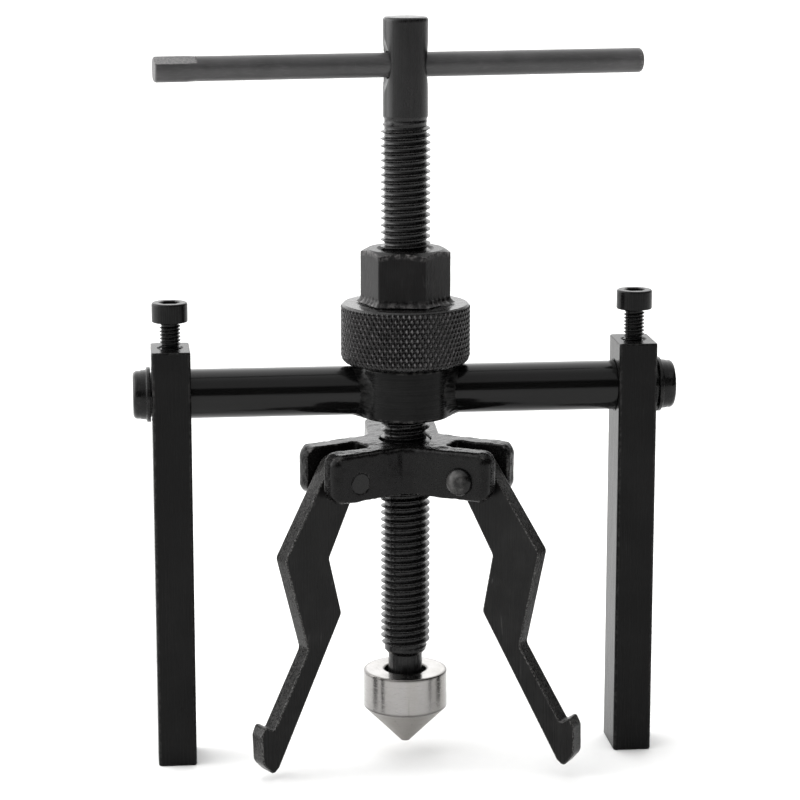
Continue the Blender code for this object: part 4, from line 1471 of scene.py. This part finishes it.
@dataclass
class JawHub:
    """The cast hub: three forked arms round a tapped middle.

    Attributes:
        arm: Half of an arm's width.
        core: Radius of the middle.
        reach: Length of an arm from the screw's axis.
        slot: Half of the slot's width.
        slot_start: Where a slot starts, from the screw's axis.
        bore: Radius of the bore.
        eye: Radius of the pins' holes.
        corner: Radius of the arms' upright corners.
        nose: Radius of the arms' ends seen from the side.
        rim: Radius of the top and bottom rims.
        cell: Size of the cells that the casting is built from.
        rough: Height of the casting's lumps.
        root: Radius of the upright corners between arm and middle.
        waist: Radius of the middle's corners between two arms.
        slot_corner: Radius of the slots' inner corners.
    """

    arm: float = 10.2
    core: float = 12.5
    reach: float = 30.0
    slot: float = 4.1
    slot_start: float = 14.2
    bore: float = 7.25
    eye: float = 2.7
    corner: float = 2.6
    rim: float = 1.1
    nose: float = 3.3
    cell: float = 0.42
    rough: float = 0.16
    root: float = 2.0
    waist: float = 4.0
    slot_corner: float = 1.8

    def build(self) -> None:
        """Make the hub.

        The plain shape is cut out first. It is then rebuilt from small cubes, eased so that
        every edge turns round as a casting's does, and roughened by three sizes of lumps.
        """
        low, high = box_mm("jaw_hub")
        hub = new_object("hub_casting", plate(self._outline(), low[2], high[2], self.rim))
        carve(hub, self._cutters(low[2], high[2]))
        cubes = hub.modifiers.new("cubes", "REMESH")
        cubes.mode = "VOXEL"
        cubes.voxel_size = self.cell * MM
        ease = hub.modifiers.new("ease", "SMOOTH")
        ease.factor = 0.5
        ease.iterations = 7
        settle(hub)
        mesh = hub.data
        count = len(mesh.vertices)
        co = np.empty(count * 3, np.float32)
        mesh.vertices.foreach_get("co", co)
        normal = np.empty(count * 3, np.float32)
        mesh.vertex_normals.foreach_get("vector", normal)
        points = co.reshape(-1, 3) / MM
        normal = normal.reshape(-1, 3)
        wear = self._edge_wear(mesh, points, normal)
        self._round_noses(points, (low[2] + high[2]) / 2.0, (high[2] - low[2]) / 2.0)
        upward = 0.45 + 0.55 * smoothstep(np.abs(normal[:, 2]) * 1.4 - 0.2)
        bumps = (lumps(points, 3.1, 1) + 0.55 * lumps(points, 1.3, 2) + 0.4 * lumps(points, 0.7, 4))
        free = np.clip((np.hypot(points[:, 0], points[:, 1]) - self.bore - 0.2) / 0.8, 0.0, 1.0)
        points += normal * (self.rough * bumps * upward * free - 0.03)[:, None]
        mesh.vertices.foreach_set("co", (points * MM).astype(np.float32).ravel())
        layer = mesh.attributes.get(WEAR) or mesh.attributes.new(WEAR, "FLOAT", "POINT")
        layer.data.foreach_set("value", wear.astype(np.float32))
        mesh.update()
        dress(hub, CAST_BLACK, "hub", "jaw_hub", 180.0)

    def _round_noses(self, points: np.ndarray, middle: float, half: float) -> None:
        """Round the arms' ends seen from the side.

        In the last `nose` of an arm and of its height, (a, b) is how far a point is into that
        square, whose corner the eased rims already round. With p = 5.5 the curve
        a^p + b^p = nose^p follows that corner, so scaling by (a^p + b^p)^(1/p) / hypot(a, b)
        carries it onto a quarter circle.

        Args:
            points: The hub's points in millimetres, which are changed.
            middle: Height of the arms' middle.
            half: Half of their height.
        """
        power = 5.5
        for yaw in self.yaws():
            out = np.array([math.cos(yaw), math.sin(yaw), 0.0])
            along = points @ out - (self.reach - self.nose)
            rise = points[:, 2] - middle
            up = np.abs(rise) - (half - self.nose)
            hit = (along > 0.0) & (up > 0.0)
            length = (along[hit] ** power + up[hit] ** power) ** (1.0 / power)
            scale = length / np.hypot(along[hit], up[hit])
            points[hit] += ((scale - 1.0) * along[hit])[:, None] * out
            points[hit, 2] += (scale - 1.0) * up[hit] * np.sign(rise[hit])

    @staticmethod
    def _edge_wear(mesh: bpy.types.Mesh, points: np.ndarray, normal: np.ndarray) -> np.ndarray:
        """Return 1 where the surface is strongly convex.

        A point's neighbours have a mean; how far that mean lies below the point along its
        normal, over the mean distance of the neighbours, grows with the bend of the surface.

        Args:
            mesh: The hub's mesh, for its edges.
            points: Its points in millimetres.
            normal: The normals of the points.

        Returns:
            The wear of each point, 0 to 1.
        """
        edges = np.empty(len(mesh.edges) * 2, np.int32)
        mesh.edges.foreach_get("vertices", edges)
        first, second = edges.reshape(-1, 2).T
        step = points[second] - points[first]
        length = np.linalg.norm(step, axis=1)
        total, reach, count = np.zeros_like(points), np.zeros(len(points)), np.zeros(len(points))
        for ends, sign in ((first, 1.0), (second, -1.0)):
            np.add.at(total, ends, sign * step)
            np.add.at(reach, ends, length)
            np.add.at(count, ends, 1.0)
        below = -np.sum(total * normal, axis=1) / np.maximum(reach, 1e-9)
        return smoothstep((below - 0.05) / 0.12)

    def yaws(self) -> list[float]:
        """Work out the arms' directions from the jaws' joints.

        Returns:
            The directions in radians, in order.
        """
        names = ("rear", "front_left", "front_right")
        axes = [joint_named(f"{name}_jaw_swing")["axis"] for name in names]
        return sorted(math.atan2(axis[0], -axis[1]) % TURN for axis in axes)

    def _outline(self) -> np.ndarray:
        """Draw the plan outline: three arms and the middle between them.

        Returns:
            n x 2 outline in millimetres.
        """
        inner = math.sqrt(self.core ** 2 - self.arm ** 2)
        spread = math.asin(self.arm / self.core)
        corners = []
        for yaw in self.yaws():
            c, s = math.cos(yaw), math.sin(yaw)
            arm = ((inner, -self.arm, self.root), (self.reach, -self.arm, self.corner),
                   (self.reach, self.arm, self.corner), (inner, self.arm, self.root))
            corners += [(along * c - aside * s, along * s + aside * c, radius)
                        for along, aside, radius in arm]
            gap = TURN / 3.0 - 2.0 * spread
            for share in (0.35, 0.65):
                angle = yaw + spread + gap * share
                corners.append((self.core * math.cos(angle), self.core * math.sin(angle),
                                self.waist))
        return rounded(corners, True, 6)[0]

    def _cutters(self, low: float, high: float) -> list[Skin]:
        """Make what is cut out: the bore, the three slots and the three pins' holes.

        Args:
            low: Height of the hub's underside.
            high: Height of its top.

        Returns:
            The closed cutters.
        """
        middle = (low + high) / 2.0
        cutters = [turned(np.array([[self.bore, low - 2.0], [self.bore, high + 2.0]]),
                          np.zeros(2), 64)]
        pivot = joint_named("rear_jaw_swing")["pos_m"]
        pivot_r = math.hypot(pivot[0], pivot[1]) / MM
        for yaw in self.yaws():
            c, s = math.cos(yaw), math.sin(yaw)
            arm = Placement((0.0, 0.0, middle), (c, s, 0.0), (-s, c, 0.0), (0.0, 0.0, 1.0))
            beyond = self.reach + 4.0
            slot, _ = rounded([
                (self.slot_start, -self.slot, self.slot_corner), (beyond, -self.slot, 0.0),
                (beyond, self.slot, 0.0), (self.slot_start, self.slot, self.slot_corner)],
                True, 5)
            cutters.append(plate(slot, low - middle - 3.0, high - middle + 3.0, 0.2).placed(arm))
            hole = turned(np.array([[self.eye, -2.0 * self.arm], [self.eye, 2.0 * self.arm]]),
                          np.zeros(2), 32)
            centre = (pivot_r * c, pivot_r * s, pivot[2] / MM)
            cutters.append(hole.placed(Placement.along((-s, c), centre)))
        return cutters


@dataclass
class Jaw:
    """One flat hooked jaw and the rivet it swings on.

    Attributes:
        name: "rear", "front_left" or "front_right".
        swing: How far outward the jaw hangs, in degrees.
        aside: How far the jaw lies along its rivet, towards the dome.
        thick: Thickness of the jaw.
        eye: Radius of the eye.
        meet: Angle in degrees where the inner edge meets the eye.
        edge: Radius of the rims.
        pin: Radius of the rivet.
        dome: Radius of its head.
        dome_height: Height of its head.
        arm: Half of the hub arm's width.
        play: Air between the eye's hole and the rivet.
        corners: (outward, upward, radius) from the pivot, down the outer edge, round the hook
            and up the inner edge.
    """

    name: str
    swing: float = 0.0
    aside: float = 0.0
    thick: float = 5.4
    eye: float = 6.8
    meet: float = 258.0
    edge: float = 0.38
    pin: float = 3.0
    dome: float = 3.9
    dome_height: float = 2.1
    arm: float = 10.2
    play: float = 0.3
    corners: tuple[Point, ...] = (
        (20.7, -20.1, 2.0), (14.5, -47.3, 2.5), (26.7, -68.0, 0.5), (29.5, -66.2, 0.9),
        (30.9, -69.2, 2.0), (30.8, -77.0, 3.0), (27.6, -80.7, 1.2), (25.6, -79.0, 0.6),
        (3.2, -38.5, 2.0), (6.5, -21.9, 2.0))

    def build(self) -> None:
        """Make the jaw and its rivet."""
        joint = joint_named(f"{self.name}_jaw_swing")
        axis, pivot = joint["axis"], tuple(value / MM for value in joint["pos_m"])
        swing = Placement.along(axis, pivot)
        # seen along the axis the jaw's outward side is on the left, so u points outward here
        side = Placement(pivot, (-axis[1], axis[0], 0.0), (0.0, 0.0, 1.0), tuple(axis))
        self.build_jaw(side, swing)
        self.build_rivet(swing)

    def build_jaw(self, side: Placement, swing: Placement) -> None:
        """Make the jaw from its outline, with the rivet's hole through the eye.

        Args:
            side: Frame of the outline: outward, up, and along the rivet.
            swing: Frame whose third direction is the rivet's axis.
        """
        node = f"{self.name}_jaw"
        outline = self._outline()
        half = self.thick / 2.0
        skin = plate(outline, self.aside - half, self.aside + half, self.edge, side_wear=0.5)
        skin.points[:, 0] += 0.05 * lumps(skin.points, 4.0, 11)
        eye = self.pin + self.play
        hole = turned(np.array([[eye, -self.thick], [eye, self.thick]]), np.zeros(2), 32)
        jaw = new_object(f"{self.name}_hooked_jaw", skin.placed(side))
        carve(jaw, [hole.placed(swing)])
        dress(jaw, JAW_BLACK, node, node, 30.0)

    def _outline(self) -> np.ndarray:
        """Return the side outline, counter-clockwise in (outward, upward).

        The eye is an arc from where the inner edge meets it, over the top, to where the outer
        edge touches it.

        Returns:
            n x 2 outline in millimetres from the pivot, turned by the jaw's swing.
        """
        knee = np.array(self.corners[0][:2])
        touch = math.atan2(knee[1], knee[0]) + math.acos(self.eye / np.linalg.norm(knee))
        angles = np.linspace(math.radians(self.meet), touch, 40)
        arc = self.eye * np.column_stack([np.cos(angles), np.sin(angles)])
        line, _ = rounded([(*arc[-1], 0.0), *self.corners, (*arc[0], 0.0)], False, 6)
        outline = np.concatenate([arc, line[1:-1]])
        turn = math.radians(self.swing)
        outline = outline @ np.array([[math.cos(turn), math.sin(turn)],
                                      [-math.sin(turn), math.cos(turn)]])
        area = np.sum(outline[:, 0] * np.roll(outline[:, 1], -1)
                      - outline[:, 1] * np.roll(outline[:, 0], -1))
        return outline if area > 0.0 else outline[::-1]

    def build_rivet(self, swing: Placement) -> None:
        """Make the rivet: a hammered dome on one side of the arm and a flush end on the other.

        Args:
            swing: Frame whose third direction is the rivet's axis.
        """
        node = f"{self.name}_pin"
        face = self.arm + 0.25
        arc = np.radians(np.linspace(90.0, 4.0, 14))
        dome = np.column_stack([self.dome * np.sin(arc), face + self.dome_height * np.cos(arc)])
        shank, _ = lathe_profile([(0.0, -0.12 - self.arm, 0.0), (self.pin, -0.12 - self.arm, 0.4),
                                  (self.pin, face - 0.02, 0.0)])
        profile = np.concatenate([shank[1:], dome])
        # painted highlight: the dome's crown is marked as wear, which the rivet's finish turns into
        # a lighter patch in place of the dome's highlight.
        painted_crown_highlight = np.clip((profile[:, 1] - face - 0.35 * self.dome_height) / 1.0, 0.0, 1.0)
        skin = turned(profile, painted_crown_highlight, 40)
        points = skin.points
        head = points[:, 2] > face + 0.1
        place = points + swing.origin
        knock = lumps(place, 1.6, 21) + 0.5 * lumps(place, 0.8, 22)
        points[:, 2] += np.where(head, 0.16 * knock, 0.0)
        points[:, 2] = np.minimum(points[:, 2], face + self.dome_height)
        rivet = new_object(f"{self.name}_rivet", skin.placed(swing))
        dress(rivet, RIVET_BLACK, "hub", node, 50.0)


# ------------------------------------------------------------------ cone


@dataclass
class ConeTip:
    """The loose bright cone on the screw's neck, with its hidden ball and ring.

    Attributes:
        tip: Radius of the flat end.
        bore: Radius of the bore.
        floor: Height of the bore's floor.
        shoulder: Height where the cone starts.
    """

    tip: float = 1.25
    bore: float = 6.0
    floor: float = 8.45
    shoulder: float = 10.65

    def build(self) -> None:
        """Make the cone and dress the two hidden pieces."""
        low, high = box_mm("cone_tip")
        ring_low, ring_high = box_mm("tip_snap_ring")
        rim, top = high[0], high[2]
        ring, deep = 0.3, self.bore + 0.9
        corners = [(0.0, low[2], 0.0), (self.tip, low[2], 0.25), (rim, self.shoulder, 0.3),
                   (rim, top, 0.45), (self.bore, top, 0.3), (self.bore, ring_high[2] + ring, 0.0),
                   (deep, ring_high[2] + ring, 0.0), (deep, ring_low[2] - ring, 0.0),
                   (self.bore, ring_low[2] - ring, 0.0), (self.bore, self.floor + 1.2, 0.0),
                   (2.0, self.floor, 0.0), (0.0, self.floor, 0.0)]
        profile, flags = lathe_profile(corners)
        profile, flags = self._ringed(profile, flags)
        skin = turned(profile[1:-1], flags[1:-1], 128)
        dress(new_object("cone", skin), CONE_BRIGHT, "cone", "cone_tip", 28.0)
        for node, finish in (("thrust_ball", BALL_BRIGHT), ("tip_snap_ring", SPRING_BLACK)):
            obj = frame["nodes"][node]
            obj.data.materials.clear()
            obj.data.materials.append(material_of(finish))
            LOG.info("%s keeps its frame mesh", node)

    @staticmethod
    def _ringed(profile: np.ndarray, flags: np.ndarray) -> tuple[np.ndarray, np.ndarray]:
        """Split long stretches into rows about half a millimetre apart.

        Row k of a stretch of n lies k / n of the way along it, and only its first row keeps the
        wear of the profile's point.

        Args:
            profile: n x 2 (radius, height).
            flags: Wear of its points.

        Returns:
            The longer profile and its wear.
        """
        steps = np.diff(profile, axis=0)
        counts = np.maximum(1, (np.linalg.norm(steps, axis=1) / 0.5).astype(int))
        stretch = np.repeat(np.arange(len(steps)), counts)
        first = np.cumsum(counts) - counts
        share = (np.arange(len(stretch)) - first[stretch]) / counts[stretch]
        rows = profile[stretch] + steps[stretch] * share[:, None]
        wear = np.where(share > 0.0, 0.0, flags[stretch])
        return np.concatenate([rows, profile[-1:]]), np.concatenate([wear, flags[-1:]])


# ------------------------------------------------------------------ studio


@dataclass
class Studio:
    """Pale floor, soft lights and the camera.

    Attributes:
        camera: Place of the camera in metres.
        pitch: Angle below the horizon that it looks, in degrees.
        yaw: Angle towards +X that it looks, in degrees.
        lens: Focal length on a 36 mm sensor.
        floor: Half of the floor's side in metres.
        dim: Brightness of the surroundings in front on the right.
        bright: Brightness of the surroundings behind on the left.
        bright_side: Direction of the bright surroundings.
        fade: Where along that direction the surroundings begin and end to brighten.
        sky: Strength of the even light from above.
        sky_way: Direction in which that light shines.
        sky_spread: Its spread in degrees.
        softbox: Place of the softbox in metres.
        softbox_side: Its width and height in metres.
        softbox_power: Its power in watts.
        aim: Place that the softbox faces, in metres.
    """

    camera: Point = (-0.08124, -0.7423, 0.25522)
    pitch: float = 11.75
    yaw: float = 6.13
    lens: float = 122.15
    floor: float = 9.0
    dim: float = 0.015
    bright: float = 1.5
    bright_side: Point = (-0.62, 0.75, 0.1)
    fade: tuple[float, float] = (-0.35, 0.45)
    sky: float = 2.75
    sky_way: Point = (0.3, -0.2, -1.0)
    sky_spread: float = 140.0
    softbox: Point = (-0.95, 0.15, 0.40)
    softbox_side: float = 0.8
    softbox_power: float = 6.0
    aim: Point = (0.0, 0.0, 0.1)

    def build(self) -> None:
        """Make the floor, the lights, the world and the camera."""
        self.build_floor()
        self.build_world()
        self.add_softbox()
        self.add_sky_panel()
        self.build_camera()

    def build_floor(self) -> None:
        """Make the floor at the lowest point of the tool."""
        low = CAD_BOX[0]
        side = self.floor
        mesh = bpy.data.meshes.new("floor")
        mesh.from_pydata([(-side, -side, low[2]), (side, -side, low[2]), (side, side, low[2]),
                          (-side, side, low[2])], [], [(0, 1, 2, 3)])
        floor = bpy.data.objects.new("floor", mesh)
        bpy.context.scene.collection.objects.link(floor)
        sheet = NodeSheet("pale floor")
        grain = sheet.noise(2.0, 3.0)
        colour = sheet.mix(grain, (0.90, 0.90, 0.895), (0.93, 0.93, 0.925))
        sheet.put(sheet.shader.inputs["Base Color"], colour)
        sheet.put(sheet.shader.inputs["Roughness"], 0.9)
        sheet.put(sheet.shader.inputs["Specular IOR Level"], 0.1)
        mesh.materials.append(sheet.material)

    def build_world(self) -> None:
        """Make the surroundings: white behind the tool and dim in front of it."""
        world = bpy.data.worlds.new("studio")
        bpy.context.scene.world = world
        world.use_nodes = True
        tree = world.node_tree
        nodes, links = tree.nodes, tree.links
        back = nodes["Background"]
        place = nodes.new("ShaderNodeTexCoord")
        lean = nodes.new("ShaderNodeVectorMath")
        lean.operation = "DOT_PRODUCT"
        lean.inputs[1].default_value = self.bright_side
        links.new(place.outputs["Generated"], lean.inputs[0])
        ramp = nodes.new("ShaderNodeMapRange")
        ramp.interpolation_type = "SMOOTHSTEP"
        for name, value in (("From Min", self.fade[0]), ("From Max", self.fade[1]),
                            ("To Min", self.dim), ("To Max", self.bright)):
            ramp.inputs[name].default_value = value
        links.new(lean.outputs["Value"], ramp.inputs["Value"])
        back.inputs["Color"].default_value = (1.0, 1.0, 1.0, 1.0)
        links.new(ramp.outputs["Result"], back.inputs["Strength"])

    def add_sky_panel(self) -> None:
        """Add the wide even light from behind, above and left that makes the floor white."""
        data = bpy.data.lights.new("sky panel", "SUN")
        data.energy = self.sky
        data.angle = math.radians(self.sky_spread)
        light = bpy.data.objects.new("sky panel", data)
        light.rotation_euler = Vector(self.sky_way).to_track_quat("-Z", "Y").to_euler()
        bpy.context.scene.collection.objects.link(light)

    def add_softbox(self) -> None:
        """Add the square area light on the left, which faces the tool's middle."""
        data = bpy.data.lights.new("left softbox", "AREA")
        data.shape = "RECTANGLE"
        data.size = data.size_y = self.softbox_side
        data.energy = self.softbox_power
        light = bpy.data.objects.new("left softbox", data)
        light.location = self.softbox
        way = Vector(self.aim) - Vector(self.softbox)
        light.rotation_euler = way.to_track_quat("-Z", "Y").to_euler()
        bpy.context.scene.collection.objects.link(light)

    def build_camera(self) -> None:
        """Place the camera and show plain, unstylised colours."""
        data = bpy.data.cameras.new("camera")
        data.lens = self.lens
        data.sensor_width = 36.0
        data.clip_end = 50.0
        camera = bpy.data.objects.new("camera", data)
        camera.location = self.camera
        camera.rotation_euler = (math.radians(90.0 - self.pitch), 0.0, math.radians(-self.yaw))
        bpy.context.scene.collection.objects.link(camera)
        bpy.context.scene.camera = camera
        bpy.context.scene.view_settings.view_transform = "Standard"


def main() -> None:
    """Build every sub-assembly and the studio."""
    logging.basicConfig(level=logging.INFO, format="%(name)s: %(message)s")
    Studio().build()
    ForcingScrew().build()
    TommyBar().build()
    AdjustingNut().build()
    Crossbeam().build()
    for side in ("left", "right"):
        Leg(side).build()
    JawHub().build()
    Jaw("rear", aside=1.15).build()
    Jaw("front_left", swing=-2.3).build()
    Jaw("front_right", swing=1.0).build()
    ConeTip().build()


if __name__ == "__main__":
    main()
